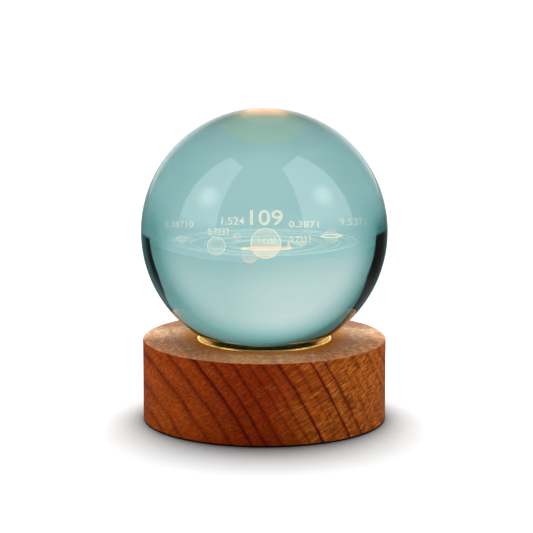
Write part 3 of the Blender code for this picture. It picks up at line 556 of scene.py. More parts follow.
def lens(n):
    """Frosted lens with the six lamps glowing through it."""
    place = n.here()
    x, y, _ = n.separate(place)
    angle = n.times(n.math("ARCTAN2", y, x), 6.0)
    radius = n.length(n.combine(x, y, 0.0))
    spokes = n.step(n.math("COSINE", angle), -1.0, 1.0, 0.25, 1.0)
    ring = n.step(n.size(n.minus(radius, LAMP_CIRCLE)), 0.0, 3.6, 1.0, 0.0)
    glow = n.plus(n.times(n.times(spokes, ring), 4.0), 1.28)
    return {
        "Base Color": n.blend(n.noise(place, 3.0, 2.0), (0.95, 0.9, 0.8), (0.88, 0.82, 0.7)),
        "Roughness": 0.5,
        "Emission Color": n.blend(ring, (1.0, 0.5, 0.26), (1.0, 0.6, 0.38)),
        "Emission Strength": glow,
    }


def phosphor(n):
    return {
        "Base Color": n.blend(n.noise(n.here(), 4.0, 2.0), (0.95, 0.78, 0.3), (0.85, 0.62, 0.2)),
        "Roughness": 0.4,
        "Emission Color": (1.0, 0.7, 0.35),
        "Emission Strength": 1.2,
    }


GLASS = surface("tinted_glass", glass)
WOOD = surface("oiled_wood", wood)
GOLD = surface("polished_gold_metal", gold)
STEEL = surface("plated_steel", steel)
LENS_GLOW = surface("frosted_lens", lens)
WHITE_PLASTIC = surface("white_plastic", moulded((0.84, 0.83, 0.79), (0.78, 0.77, 0.73)))
BLACK_PLASTIC = surface("black_plastic", moulded((0.03, 0.03, 0.032), (0.018, 0.018, 0.019)))
RUBBER = surface("pad_rubber", rubber)
BOARD_WHITE = surface("white_board", board((0.8, 0.8, 0.77), (0.72, 0.7, 0.62)))
BOARD_GREEN = surface("green_board", board((0.025, 0.19, 0.08), (0.05, 0.3, 0.12)))
PHOSPHOR = surface("led_phosphor", phosphor)
CERAMIC = surface(
    "ceramic_part",
    mixed((0.45, 0.33, 0.22), (0.3, 0.2, 0.12), (4.0,), (6.0,), (0.3, 0.7, 0.4, 0.55)),
)
RED_WIRE = surface("red_wire", insulation((0.55, 0.03, 0.03), (0.42, 0.02, 0.02)))
BLACK_WIRE = surface("black_wire", insulation((0.025, 0.025, 0.026), (0.015, 0.015, 0.015)))

CREAM = (1.0, 0.76, 0.6)
ETCHED = surface("etched_glass", etched(0.92, 0.54, (0.99, 0.86, 0.73), spread=0.55))
ETCHED_DOTS = surface("etched_dots", etched(1.05, 0.42, CREAM))
ETCHED_LINES = surface("etched_lines", etched(1.3, 0.13, (0.92, 1.0, 0.97)))
ETCHED_RINGS = surface("etched_rings", etched(1.2, 0.36, (1.0, 0.92, 0.82)))
ETCHED_BELT = surface("etched_belt", etched(1.05, 0.33, (1.0, 0.72, 0.6)))
ETCHED_FAINT = surface("etched_faint", etched(1.05, 0.07, CREAM, rim=0.16))
ETCHED_SUN = surface(
    "etched_sun", etched(1.05, 0.08, (1.0, 0.82, 0.66), rim=0.88, low=0.2, middle=-2.3)
)
ETCHED_PLANET = surface(
    "etched_planet",
    etched(1.05, 0.02, (0.98, 0.9, 0.78), rim=0.95, low=0.05, middle=-2.6, streaks=0.13),
)
ETCHED_MOON = surface(
    "etched_moon", etched(1.05, 0.05, CREAM, rim=0.5, low=0.2, middle=-2.9, reach=0.7)
)

NODE_PAINTS = (
    # material, starts of the names of its nodes
    (GLASS, ("glass_ball",)),
    (GOLD, ("seat_ring",)),
    (WOOD, ("wooden_base",)),
    (LENS_GLOW, ("light_lens",)),
    (WHITE_PLASTIC, ("light_cup", "board_spacer_", "switch_plunger")),
    (BLACK_PLASTIC, ("socket_core", "switch_body", "button_cap", "driver_chip", "bottom_cover")),
    (STEEL, ("light_screw", "board_screw_", "cover_screw_", "socket_shell")),
    (BOARD_WHITE, ("light_board",)),
    (BOARD_GREEN, ("control_board",)),
    (PHOSPHOR, ("led_",)),
    (CERAMIC, ("resistor_", "capacitor")),
    (RED_WIRE, ("wire_positive",)),
    (BLACK_WIRE, ("wire_negative",)),
    (RUBBER, ("non_slip_pad",)),
)
for node_name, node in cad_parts.items():
    for paint, starts in NODE_PAINTS:
        if node_name.startswith(starts):
            for material_slot in node.material_slots:
                material_slot.material = paint


# Pieces

FIT_GAP = 0.25 * MM
SAME_PLACE = 1e-7


def add_object(name, data):
    made = bpy.data.objects.new(name, data)
    bpy.context.scene.collection.objects.link(made)
    return made


def mesh_of(name, bm):
    mesh = bpy.data.meshes.new(name)
    bm.to_mesh(mesh)
    bm.free()
    return mesh


def piece(name, bm, paint, body, replaced=(), sharp=35):
    """Makes a smooth-shaded mesh object that rides on a body of the frame."""
    mesh = mesh_of(name, bm)
    mesh.materials.append(paint)
    mesh.shade_smooth()
    if sharp:
        mesh.set_sharp_from_angle(angle=radians(sharp))
    made = add_object(name, mesh)
    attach(made, body)
    if replaced:
        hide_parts(*replaced)


def arc(centre, radius, start, end, steps):
    """Points of a circular arc in a profile, from one angle in degrees to another."""
    angles = [radians(start + (end - start) * i / steps) for i in range(steps + 1)]
    return [(centre[0] + radius * cos(a), centre[1] + radius * sin(a)) for a in angles]


def shoulder(radius, height, rounding, steps=4):
    """Rounded upper edge of a profile."""
    return arc((radius - rounding, height - rounding), rounding, 90, 0, steps)


def foot(radius, height, rounding, steps=4):
    """Rounded lower edge of a profile."""
    return arc((radius - rounding, height + rounding), rounding, 0, -90, steps)


def dome(width, height):
    """Radius of the sphere that a dome of this half width is cut from, and the angle it spans."""
    sphere = (width**2 + height**2) / (2 * height)
    return sphere, degrees(asin(width / sphere))


def cleaned(bm):
    bmesh.ops.remove_doubles(bm, verts=bm.verts, dist=SAME_PLACE)
    bmesh.ops.recalc_face_normals(bm, faces=bm.faces)
    return bm


def turned(profile, steps, closed=False):
    """A bmesh of a profile of (radius, height) points turned about Z."""
    bm = bmesh.new()
    points = [bm.verts.new((radius, 0, height)) for radius, height in profile]
    loop = points + points[:1] if closed else points
    edges = [bm.edges.new(pair) for pair in zip(loop, loop[1:])]
    bmesh.ops.spin(
        bm, geom=points + edges, cent=(0, 0, 0), axis=(0, 0, 1), angle=tau, steps=steps,
        use_merge=True,
    )
    return cleaned(bm)


def moved(bm, matrix):
    bmesh.ops.transform(bm, matrix=matrix, verts=bm.verts)
    return bm


def shifted(bm, place):
    return moved(bm, Matrix.Translation(place))


def bridge(bm, here, there):
    """Faces between two loops of points."""
    for i in range(len(here)):
        j = (i + 1) % len(here)
        bm.faces.new((here[i], here[j], there[j], there[i]))


def make_ball():
    bm = bmesh.new()
    bmesh.ops.create_icosphere(bm, subdivisions=6, radius=BALL_RADIUS)
    shifted(bm, BALL_CENTRE)
    piece("crystal_ball", bm, GLASS, "ball", ["glass_ball"], sharp=0)


# Seat ring: the same turned shape as its node, with finer roundings
LIP_WIDTH = 1.0 * MM
LIP_ROUND = 0.3 * MM
LIP_START = 140
SLOPE_WIDTH = 1.9 * MM
TROUGH_WIDTH = 1.4 * MM
SEAT_WIDTH = 3.0 * MM
CONTACT_DEPTH = 1.6 * MM
RING_FLOOR = 1.0 * MM


def make_seat_ring():
    lip_inner = RING_RADIUS - LIP_WIDTH
    trough_outer = lip_inner - SLOPE_WIDTH
    seat_outer = trough_outer - TROUGH_WIDTH
    bore = seat_outer - SEAT_WIDTH
    contact = seat_outer - CONTACT_DEPTH
    slope = tan(asin(contact / BALL_RADIUS))
    seat_bottom = RING_LOW.z + RING_FLOOR
    trough = seat_bottom + (seat_outer - bore) * slope
    top = RING_HIGH.z
    profile = arc((lip_inner + LIP_ROUND, top - LIP_ROUND), LIP_ROUND, LIP_START, 90, 6)
    profile += shoulder(RING_RADIUS, top, LIP_ROUND, 8)
    profile += [(RING_RADIUS, RING_LOW.z), (bore, RING_LOW.z)]
    profile += [(bore, seat_bottom), (seat_outer, trough), (trough_outer, trough)]
    bm = turned(profile, steps=192, closed=True)
    piece("polished_seat_ring", bm, GOLD, "base", ["seat_ring"])


# Wooden base: the same turned and routed shape as its node, with finer roundings
EDGE_ROUND = 0.3 * MM
RIM_WIDTH = 2.65 * MM
CAVITY_RADIUS = 15.0 * MM
POCKET_MARGIN = 2.46 * MM
POCKET_HEIGHT = 7.6 * MM
POCKET_CORNER = 2.4 * MM
REAR_WALL = 2.2 * MM
SHAFT_RADIUS = 10.66 * MM
RECESS_TOP = 3.3 * MM
CEILING_ABOVE_CUP = 1.45 * MM
SHELL_FLAT = 0.13 * MM
FLOOR_GAP = 0.2 * MM
BAY_GAP = 0.5 * MM
BUTTON_RADIUS = 2.8 * MM
BUTTON_GAP = 0.3 * MM


def rounded_outline(width, height, corner, steps=10):
    x, z = width / 2 - corner, height / 2 - corner
    points = []
    for quarter, centre in enumerate(((x, z), (-x, z), (-x, -z), (x, -z))):
        points += arc(centre, corner, 90 * quarter, 90 * quarter + 90, steps)
    return points


def rectangle(half_width, low, high):
    return [(-half_width, low), (half_width, low), (half_width, high), (-half_width, high)]


def prism(outline, front, back, middle):
    """A solid outline in the XZ plane about the middle, from y front to y back."""
    bm = bmesh.new()
    left, low = middle
    rows = [[bm.verts.new((left + x, y, low + z)) for x, z in outline] for y in (front, back)]
    bridge(bm, *rows)
    for row in rows:
        bm.faces.new(row)
    return cleaned(bm)


def evaluated(body):
    graph = bpy.context.evaluated_depsgraph_get()
    bm = bmesh.new()
    bm.from_mesh(body.evaluated_get(graph).to_mesh())
    return bm


def cut(bm, tools):
    """The bmesh less its tools."""
    body = add_object("cut", mesh_of("cut", bm))
    cutters = []
    for tool in tools:
        cutter = add_object("tool", mesh_of("tool", tool))
        modifier = body.modifiers.new("cut", "BOOLEAN")
        modifier.object = cutter
        modifier.solver = "EXACT"
        cutters.append(cutter)
    result = evaluated(body)
    for old in [body, *cutters]:
        bpy.data.objects.remove(old)
    return result


def make_wooden_base():
    top, bottom = WOOD_HIGH.z, WOOD_LOW.z
    well, well_floor = RING_RADIUS + FIT_GAP, RING_LOW.z - FIT_GAP
    recess, ceiling = WOOD_RADIUS - RIM_WIDTH, CUP_LOW.z + CEILING_ABOVE_CUP
    profile = [(well, top)] + shoulder(WOOD_RADIUS, top, EDGE_ROUND, 6)
    profile += foot(WOOD_RADIUS, bottom, EDGE_ROUND, 6)
    profile += [(recess, bottom), (recess, RECESS_TOP), (CAVITY_RADIUS, RECESS_TOP)]
    profile += [(CAVITY_RADIUS, ceiling), (SHAFT_RADIUS, ceiling)]
    profile += [(SHAFT_RADIUS, well_floor), (well, well_floor)]
    bm = turned(profile, steps=256, closed=True)

    floor = SHELL_HIGH.y + FLOOR_GAP
    rear = floor - REAR_WALL
    wide = CAP_HIGH.x - SHELL_LOW.x + 2 * POCKET_MARGIN
    outline = rounded_outline(wide, POCKET_HEIGHT, POCKET_CORNER)
    pocket = prism(outline, floor, WOOD_RADIUS + MM, (0, SHELL_MIDDLE.z))
    wide, high = (SHELL_HIGH[i] - SHELL_LOW[i] + 2 * FIT_GAP for i in (0, 2))
    outline = rounded_outline(wide, high, high / 2 - SHELL_FLAT)
    slot = prism(outline, rear - MM, floor + MM, (SHELL_MIDDLE.x, SHELL_MIDDLE.z))
    circle = arc((0, 0), BUTTON_RADIUS + BUTTON_GAP, 0, 360, 64)[:-1]
    bore = prism(circle, rear - MM, floor + MM, (CAP_MIDDLE.x, CAP_MIDDLE.z))
    half = BOARD_HIGH.x + FIT_GAP
    low, high = RECESS_TOP - FIT_GAP, CAP_HIGH.z + BAY_GAP
    bay = prism(rectangle(half, low, high), 0, rear, (0, 0))
    bm = cut(bm, [pocket, bay, slot, bore])
    piece("turned_wooden_base", bm, WOOD, "base", ["wooden_base"])


make_ball()
make_seat_ring()
make_wooden_base()


# Turned and drawn parts behind, below and inside: the shapes of their nodes, with finer roundings
TOWARDS_BACK = Matrix.Rotation(radians(-90), 4, "X")
HOLE_SPARE = 1.0 * MM
PAD_GAP = 0.8 * MM
LENS_RIM = 1.2 * MM
SCREW_HOLE_RADIUS = 1.1 * MM
SCREW_HEAD_RADIUS = 1.5 * MM
SCREW_SHANK_RADIUS = 0.8 * MM
SCREW_HEAD_HEIGHT = 0.9 * MM
COVER_SCREW_ANGLES = (40, 140, 220, 320)
COVER_SCREW_CIRCLE = 23.6 * MM
LIGHT_SCREW_ANGLES = (50, 130, 270)
LIGHT_SCREW_CIRCLE = 12.41 * MM


def on_circle(radius, angle):
    return radius * cos(radians(angle)), radius * sin(radians(angle))


def upright(radius, bottom, top, place, end_radius=None, steps=48):
    """A rod, or a cone frustum, standing at a place."""
    end_radius = radius if end_radius is None else end_radius
    bm = turned([(0, bottom), (radius, bottom), (end_radius, top), (0, top)], steps)
    return shifted(bm, (*place, 0))


def make_button_cap():
    """Round cap with a shallow dish, a rounded edge and the flange that stops it in its bore."""
    rounding, dish_depth = 0.4 * MM, 0.3 * MM
    flange_radius, flange, socket, socket_depth = 3.5 * MM, 0.8 * MM, 1.0 * MM, 1.4 * MM
    top = CAP_HIGH.y - CAP_LOW.y
    sphere, reach = dome(BUTTON_RADIUS - rounding, dish_depth)
    profile = arc((0, top - dish_depth + sphere), sphere, -90, reach - 90, 12)
    profile += shoulder(BUTTON_RADIUS, top, rounding, 8)[1:]
    profile += [(BUTTON_RADIUS, flange), (flange_radius, flange), (flange_radius, 0)]
    profile += [(socket, 0), (socket, socket_depth), (0, socket_depth)]
    place = Matrix.Translation((CAP_MIDDLE.x, CAP_LOW.y, CAP_MIDDLE.z))
    bm = moved(turned(profile, steps=96), place @ TOWARDS_BACK)
    piece("dished_button_cap", bm, BLACK_PLASTIC, "button", ["button_cap"])


def make_socket_shell():
    """Drawn shell, open at both ends, with its two mouths rolled round."""
    wall, edge = 0.3 * MM, 0.1 * MM
    width, height = SHELL_HIGH.x - SHELL_LOW.x, SHELL_HIGH.z - SHELL_LOW.z
    front, back = SHELL_LOW.y + edge, SHELL_HIGH.y - edge
    section = []
    for quarter, (inset, y) in enumerate(
        ((wall - edge, back), (edge, back), (edge, front), (wall - edge, front))
    ):
        section += arc((inset, y), edge, 90 * quarter, 90 * quarter + 90, 4)
    bm = bmesh.new()
    loops = []
    for inset, y in section:
        corner = (height - 2 * SHELL_FLAT) / 2 - inset
        outline = rounded_outline(width - 2 * inset, height - 2 * inset, corner, 12)
        places = [(SHELL_MIDDLE.x + x, y, SHELL_MIDDLE.z + z) for x, z in outline]
        loops.append([bm.verts.new(place) for place in places])
    for here, there in zip(loops, loops[1:] + loops[:1]):
        bridge(bm, here, there)
    bmesh.ops.recalc_face_normals(bm, faces=bm.faces)
    piece("drawn_socket_shell", bm, STEEL, "base", ["socket_shell"])


def make_lens():
    """Frosted lens, flat above and bulging downwards."""
    edge, bulge_inset = 0.15 * MM, 0.95 * MM
    radius, rim = LENS_HIGH.x, LENS_HIGH.z - LENS_RIM
    sphere, reach = dome(radius - bulge_inset, rim - LENS_LOW.z)
    profile = [(0, LENS_HIGH.z)] + shoulder(radius, LENS_HIGH.z, edge)
    profile += [(radius, rim)] + arc((0, LENS_LOW.z + sphere), sphere, reach - 90, -90, 16)
    bm = turned(profile, steps=96)
    piece("frosted_light_lens", bm, LENS_GLOW, "base", ["light_lens"])


def make_light_cup():
    """White cup with a step for the lens and a flange with three screw holes."""
    edge, wall, ledge, taper = 0.15 * MM, 0.65 * MM, 0.7 * MM, 1.0 * MM
    radius, flange_radius, flange_top = 10.41 * MM, CUP_HIGH.y, CUP_LOW.z + 1.2 * MM
    mouth, step = radius - wall, LENS_HIGH.z - LENS_RIM - FIT_GAP
    bore = mouth - FIT_GAP - ledge
    profile = [(mouth, CUP_HIGH.z)] + shoulder(radius, CUP_HIGH.z, edge)
    profile += [(radius, flange_top)] + shoulder(flange_radius, flange_top, edge)
    profile += [(flange_radius, CUP_LOW.z), (bore - taper, CUP_LOW.z), (bore, step), (mouth, step)]
    low, high = CUP_LOW.z - HOLE_SPARE, flange_top + HOLE_SPARE
    places = [on_circle(LIGHT_SCREW_CIRCLE, a) for a in LIGHT_SCREW_ANGLES]
    holes = [upright(SCREW_HOLE_RADIUS, low, high, spot) for spot in places]
    bm = cut(turned(profile, steps=128, closed=True), holes)
    piece("turned_light_cup", bm, WHITE_PLASTIC, "base", ["light_cup"])


def make_bottom():
    """Cover with a stiffening rim and sunk screw holes, and the pad below it with wider holes."""
    edge, rim_height, rim_width, rim_gap = 0.25 * MM, 0.8 * MM, 1.0 * MM, 0.4 * MM
    top, rim = COVER_HIGH.z - rim_height, CAVITY_RADIUS - rim_gap
    radius, bottom, inner = COVER_HIGH.y, COVER_LOW.z, rim - rim_width
    profile = [(0, top), (inner, top), (inner, COVER_HIGH.z), (rim, COVER_HIGH.z), (rim, top)]
    profile += shoulder(radius, top, edge) + foot(radius, bottom, edge) + [(0, bottom)]
    places = [on_circle(COVER_SCREW_CIRCLE, a) for a in COVER_SCREW_ANGLES]
    wide, sunk = SCREW_HEAD_RADIUS + FIT_GAP, bottom + SCREW_HEAD_HEIGHT
    low, high = bottom - HOLE_SPARE, top + HOLE_SPARE
    holes = [upright(SCREW_HOLE_RADIUS, low, high, spot) for spot in places]
    holes += [upright(wide, bottom, sunk, spot, SCREW_HOLE_RADIUS) for spot in places]
    bm = cut(turned(profile, steps=192), holes)
    piece("turned_bottom_cover", bm, BLACK_PLASTIC, "base", ["bottom_cover"])

    low, high, radius = PAD_LOW.z, PAD_HIGH.z, PAD_HIGH.y
    profile = [(0, high)] + shoulder(radius, high, edge) + foot(radius, low, edge) + [(0, low)]
    wide = SCREW_HEAD_RADIUS + PAD_GAP
    holes = [upright(wide, low - HOLE_SPARE, high + HOLE_SPARE, spot) for spot in places]
    bm = cut(turned(profile, steps=192), holes)
    piece("cut_non_slip_pad", bm, RUBBER, "base", ["non_slip_pad"])


def make_cover_screws():
    """Countersunk screws with a cross recess, pointing up into the wood."""
    arm, half_width, depth, tip = 0.9 * MM, 0.2 * MM, 0.5 * MM, 1.0 * MM
    for number, angle in enumerate(COVER_SCREW_ANGLES, 1):
        node = f"cover_screw_{number}"
        low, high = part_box(node)
        x, y = on_circle(COVER_SCREW_CIRCLE, angle)
        neck = low.z + SCREW_HEAD_HEIGHT
        profile = [(0, high.z), (SCREW_SHANK_RADIUS, high.z - tip), (SCREW_SHANK_RADIUS, neck)]
        profile += [(SCREW_HEAD_RADIUS, low.z), (0, low.z)]
        screw = shifted(turned(profile, steps=48), (x, y, 0))
        bars = []
        for width, length in ((arm, half_width), (half_width, arm)):
            outline = rectangle(width, -depth, depth)
            bars.append(prism(outline, y - length, y + length, (x, low.z)))
        piece(f"countersunk_screw_{number}", cut(screw, bars), STEEL, "base", [node])


make_button_cap()
make_socket_shell()
make_lens()
make_light_cup()
make_bottom()
make_cover_screws()


# Engraving inside the glass. Places are in millimetres from the ball's centre.
CHART_MIDDLE = Vector((0.2, -2.0, -2.05))
ORBITS = (5.3, 6.0, 6.7, 9.3, 10.2, 12.4, 14.2, 15.3)
ORBIT_LINE = 0.06
PLANET_RING_LINE = 0.08
DOT = 0.05
BELT_DOTS = 2600
BELT_MIDDLE = Vector((0.35, -4.9, -2.25))
BELT_HALF_WIDTH = 4.3
BELT_HALF_HEIGHT = 0.36
BELT_BEND = 0.05
BELT_TAPER = 0.8
TAIL_DOTS = 260
TAIL_FOOT = Vector((4.15, -4.0, -2.3))
TAIL_HEIGHT = 1.2
TAIL_HALF_WIDTH = 0.5
SEED = 7
NUMBER_DEPTH = 0.02
NUMBER_WEIGHT = 0.012
NUMBER_MERGE = 1e-5
NUMBERS = (
    # text, left and right x, foot and top z, y
    ("0.38710", -17.1, -11.7, 0.62, 1.74, 0.0),
    ("0.7233", -9.5, -5.9, -0.42, 0.75, -1.5),
    ("1.524", -6.9, -3.2, 0.85, 2.12, 1.0),
    ("109", -2.4, 3.1, 1.22, 3.87, -1.5),
    ("0.3871", 4.0, 8.95, 0.6, 1.72, 0.0),
    ("0.7233", 4.2, 7.8, -1.6, -0.55, -1.5),
    ("9.5371", 12.1, 16.9, 0.6, 1.82, 2.0),
    ("1.000", -1.1, 2.2, -1.48, -0.38, -4.9),
)
SPHERES = (
    # name, centre, radius, dots, share of them in the lower part, stripes, rings
    ("sun", (0.25, -2.0, -1.72), 2.52, 1300, 0.75, 0, ()),
    ("planet_left", (-8.1, -2.6, -2.1), 1.54, 420, 0.6, 5, ()),
    ("planet_front", (-2.9, -15.4, -2.1), 1.62, 260, 0.8, 4, ()),
    ("planet_back", (-4.1, 5.2, -1.75), 0.6, 60, 0.5, 0, ()),
    ("planet_far_left", (-13.3, 1.6, -1.6), 0.7, 50, 0.5, 0, (1.15, 1.75, 2.4)),
    ("planet_right", (5.9, 1.0, -2.1), 0.55, 60, 0.5, 0, (1.0, 1.6)),
    ("ringed_planet", (10.2, 4.6, -1.55), 1.05, 160, 0.5, 0, (1.2, 1.45, 1.7)),
)


def dots(places):
    """Small eight-sided dots, as a laser leaves them in glass."""
    bm = bmesh.new()
    corners = ((1, 0, 0), (0, 1, 0), (-1, 0, 0), (0, -1, 0), (0, 0, 1), (0, 0, -1))
    corners = [DOT * Vector(corner) for corner in corners]
    for place in places:
        made = [bm.verts.new(place + corner) for corner in corners]
        for i in range(4):
            j = (i + 1) % 4
            bm.faces.new((made[i], made[j], made[4]))
            bm.faces.new((made[j], made[i], made[5]))
    return bm


def circles(centre, radii, thickness, steps, flat=1.0, sides=6):
    """Thin rings in a horizontal plane."""
    bm = bmesh.new()
    for radius in radii:
        rows = []
        for i in range(steps):
            a = tau * i / steps
            row = []
            for j in range(sides):
                b = tau * j / sides
                reach = radius + thickness * cos(b)
                offset = (reach * cos(a), reach * sin(a), flat * thickness * sin(b))
                row.append(bm.verts.new(centre + Vector(offset)))
            rows.append(row)
        for here, there in zip(rows, rows[1:] + rows[:1]):
            bridge(bm, there, here)
    return bm


def sphere_places(centre, radius, count, low_share, stripes, rng):
    """Places on a sphere, thinned out between bands of latitude if it has stripes."""
    places = []
    for i in range(count):
        height = -rng.random() if rng.random() < low_share else rng.random()
        turn = tau * rng.random()
        flat = sqrt(1 - height * height)
        if not stripes or i % 3 == 0 or sin(stripes * pi * height) > 0:
            places.append(centre + radius * Vector((flat * cos(turn), flat * sin(turn), height)))
    return places


def engraving(name, bm, paint=ETCHED):
    bmesh.ops.scale(bm, vec=(MM, MM, MM), verts=bm.verts)
    shifted(bm, BALL_CENTRE)
    piece("engraved_" + name, bm, paint, "ball", sharp=30)


def make_spheres(rng):
    shells = {"sun": ETCHED_SUN, "planet_left": ETCHED_PLANET, "planet_front": ETCHED_MOON}
    for name, centre, radius, count, low_share, stripes, rings in SPHERES:
        centre = Vector(centre)
        places = sphere_places(centre, radius, count, low_share, stripes, rng)
        engraving(name, dots(places), ETCHED_DOTS)
        bm = bmesh.new()
        bmesh.ops.create_icosphere(bm, subdivisions=4, radius=radius)
        engraving(name + "_shell", shifted(bm, centre), shells.get(name, ETCHED_FAINT))
        if rings:
            paint = ETCHED_RINGS if name == "ringed_planet" else ETCHED_LINES
            bm = circles(centre, rings, PLANET_RING_LINE, steps=64, flat=0.4)
            engraving(name + "_rings", bm, paint)


def make_belt(rng):
    belt = []
    for _ in range(BELT_DOTS):
        along = rng.uniform(-1, 1)
        x = BELT_MIDDLE.x + BELT_HALF_WIDTH * along
        thick = BELT_HALF_HEIGHT * sqrt(1 - BELT_TAPER * along * along)
        y = BELT_MIDDLE.y + BELT_BEND * x * x
        belt.append(Vector((x, y, BELT_MIDDLE.z + rng.uniform(-thick, thick))))
    for _ in range(TAIL_DOTS):
        rise = rng.random()
        aside = rng.uniform(-TAIL_HALF_WIDTH, TAIL_HALF_WIDTH) * (1 - rise)
        belt.append(TAIL_FOOT + Vector((aside, 0.0, TAIL_HEIGHT * rise)))
    engraving("belt", dots(belt), ETCHED_BELT)


def make_number(number, text, left, right, low, high, y):
    curve = bpy.data.curves.new("number", "FONT")
    curve.body = text
    curve.extrude = NUMBER_DEPTH
    curve.offset = NUMBER_WEIGHT
    curve.resolution_u = 4
    drawn = add_object("number", curve)
    bm = evaluated(drawn)
    bpy.data.objects.remove(drawn)
    bmesh.ops.remove_doubles(bm, verts=bm.verts, dist=NUMBER_MERGE)
    across = [vert.co.x for vert in bm.verts]
    upward = [vert.co.y for vert in bm.verts]
    wide = (right - left) / (max(across) - min(across))
    tall = (high - low) / (max(upward) - min(upward))
    shifted(bm, (-min(across), -min(upward), 0))
    moved(bm, Matrix.Diagonal((wide, tall, 1.0, 1.0)))
    moved(bm, Matrix.Translation((left, y, low)) @ Matrix.Rotation(radians(90), 4, "X"))
    engraving(f"number_{number}", bm)


rng = random.Random(SEED)
make_spheres(rng)
engraving("orbits", circles(CHART_MIDDLE, ORBITS, ORBIT_LINE, steps=160), ETCHED_LINES)
make_belt(rng)
for number, row in enumerate(NUMBERS, 1):
    make_number(number, *row)


# Floor, world and studio lights

FLOOR_SIZE = 5.0
FLOOR_DROP = 0.02 * MM
SHADOW_REACH = 0.055
# A painted warm pool of the lamp's light on the floor behind the base, seen only through the glass
PAINTED_WARM_POOL = (0.0, 39.5, 0.0)
PAINTED_WARM_POOL_SQUEEZE = (2.8, 1.0, 0.0)
# Painted shadow: how much of the floor's colour is left, by how open the floor is to the sky
PAINTED_SHADOW_CURVE = (
    (0.0, 0.05), (0.4, 0.14), (0.5, 0.24), (0.55, 0.36), (0.6, 0.52), (0.65, 0.66),
    (0.7, 0.77), (0.75, 0.86), (0.8, 0.91), (0.86, 0.93), (0.93, 0.96), (1.0, 1.0),
)


def make_floor():
    bm = bmesh.new()
    bmesh.ops.create_grid(bm, x_segments=2, y_segments=2, size=FLOOR_SIZE)
    mesh = mesh_of("studio_floor", bm)
    floor = add_object("studio_floor", mesh)
    floor.location.z = -FLOOR_DROP
    made, n = blank("pale_floor")
    camera, glossy, clear = n.rays()
    place = n.here()
    # Painted warm pool of lamp light behind the base, for the glass only
    near = n.vector("MULTIPLY", n.vector("SUBTRACT", place, PAINTED_WARM_POOL), PAINTED_WARM_POOL_SQUEEZE)
    painted_warm_pool = n.step(n.length(near), 42.0, 49.0, 1.0, 0.0)
    x, y, _ = n.separate(place)
    # The floor as reflections see it, a painted reflection: dark near the lamp, brighter far behind
    # it
    azimuth = n.size(n.math("ARCTAN2", x, y))
    painted_far_reflection = n.step(azimuth, radians(13), radians(30), 0.2, 0.04)
    painted_floor_reflection = n.step(n.length(place), 70.0, 130.0, 0.11, painted_far_reflection)
    # Painted contact shadow round the foot, darker where the floor is closed in, with less red
    # there
    painted_shadow_occlusion = n.node("AmbientOcclusion", samples=16)
    painted_shadow_occlusion.inputs["Distance"].default_value = SHADOW_REACH
    openness = painted_shadow_occlusion.outputs["AO"]
    contact = n.curve(openness, PAINTED_SHADOW_CURVE)
    painted_shadow_tint = n.times(contact, n.step(openness, 0.45, 0.85, 0.93, 1.0))
    colour = n.layers((0.8, 0.8, 0.8), (
        (camera, n.combine(painted_shadow_tint, contact, contact)),
        (glossy, n.grey(painted_floor_reflection)),
        (clear, n.blend(painted_warm_pool, (0.53, 0.68, 0.715), (0.6, 0.7, 0.62))),
    ))
    n.finish(n.use("BsdfDiffuse", Color=colour))
    mesh.materials.append(made)
    return floor


# Backdrop as the glass shows it, by the sine of the height above the horizon
BACKDROP_STOPS = (
    (0.0, (0.72, 0.94, 0.955)),
    (0.13, (0.89, 1.035, 1.065)),
    (0.31, (1.01, 1.1, 1.13)),
    (0.46, (1.07, 1.17, 1.2)),
    (0.53, (1.05, 1.19, 1.22)),
    (0.62, (0.92, 1.1, 1.1)),
    (0.68, (0.74, 0.9, 0.9)),
    (0.76, (0.225, 0.285, 0.26)),
    (0.85, (0.05, 0.07, 0.05)),
)
BRIGHT_SPOT = (-0.32, 0.93, 0.19)
SPOT_GAIN = (1.32, 1.15, 1.15)
TOP_LIGHT = (0.0, 0.42, 0.907)


def make_world():
    """White to the camera, with a soft light from above and behind. Glass and metal see a bright
    backdrop that fades upwards, and a dim room."""
    world = bpy.data.worlds.new("studio")
    bpy.context.scene.world = world
    world.use_nodes = True
    n = Nodes(world.node_tree, "ShaderNodeOutputWorld")
    camera, glossy, clear = n.rays()
    direction = n.node("TexCoord").outputs["Generated"]
    x, y, z = n.separate(direction)
    azimuth = n.size(n.math("ARCTAN2", x, y))
    panel = n.step(azimuth, radians(18), radians(36), 0.85, 0.1)
    panel = n.times(panel, n.step(z, 0.1, 0.45, 1.0, 0.1))
    sides = n.step(azimuth, radians(70), radians(110), 0.0, 0.15)
    room = n.plus(n.plus(panel, sides), n.step(z, 0.5, 0.9, 0.0, 0.25))
    spot = n.step(n.vector("DOT_PRODUCT", direction, BRIGHT_SPOT), 0.84, 1.0)
    gain = n.blend(spot, WHITE, SPOT_GAIN)
    backdrop = n.vector("MULTIPLY", n.ramp(z, BACKDROP_STOPS), gain)
    lamp = n.step(n.vector("DOT_PRODUCT", direction, TOP_LIGHT), 0.78, 1.0, 0.4, 6.5)
    colour = n.layers(n.grey(lamp), ((glossy, n.grey(room)), (clear, backdrop), (camera, WHITE)))
    n.finish(n.use("Background", Color=colour))


SOFTBOX_DISTANCE = 0.5
SOFTBOX_TOP_ANGLE = 66.0
SOFTBOXES = (
    # name, azimuth of its middle, half its width as an angle, azimuth of its brightest spot
    ("softbox_left", -65.0, 20.5, -62.0),
    ("softbox_right", 63.0, 27.0, 66.0),
)
SOFTBOX_STRENGTH = 2.2
SPOT_STRENGTH = 3.4
SPOT_ELEVATION = 33.0
SPOT_RADIUS = 0.16
FOOT_FADE = 0.16


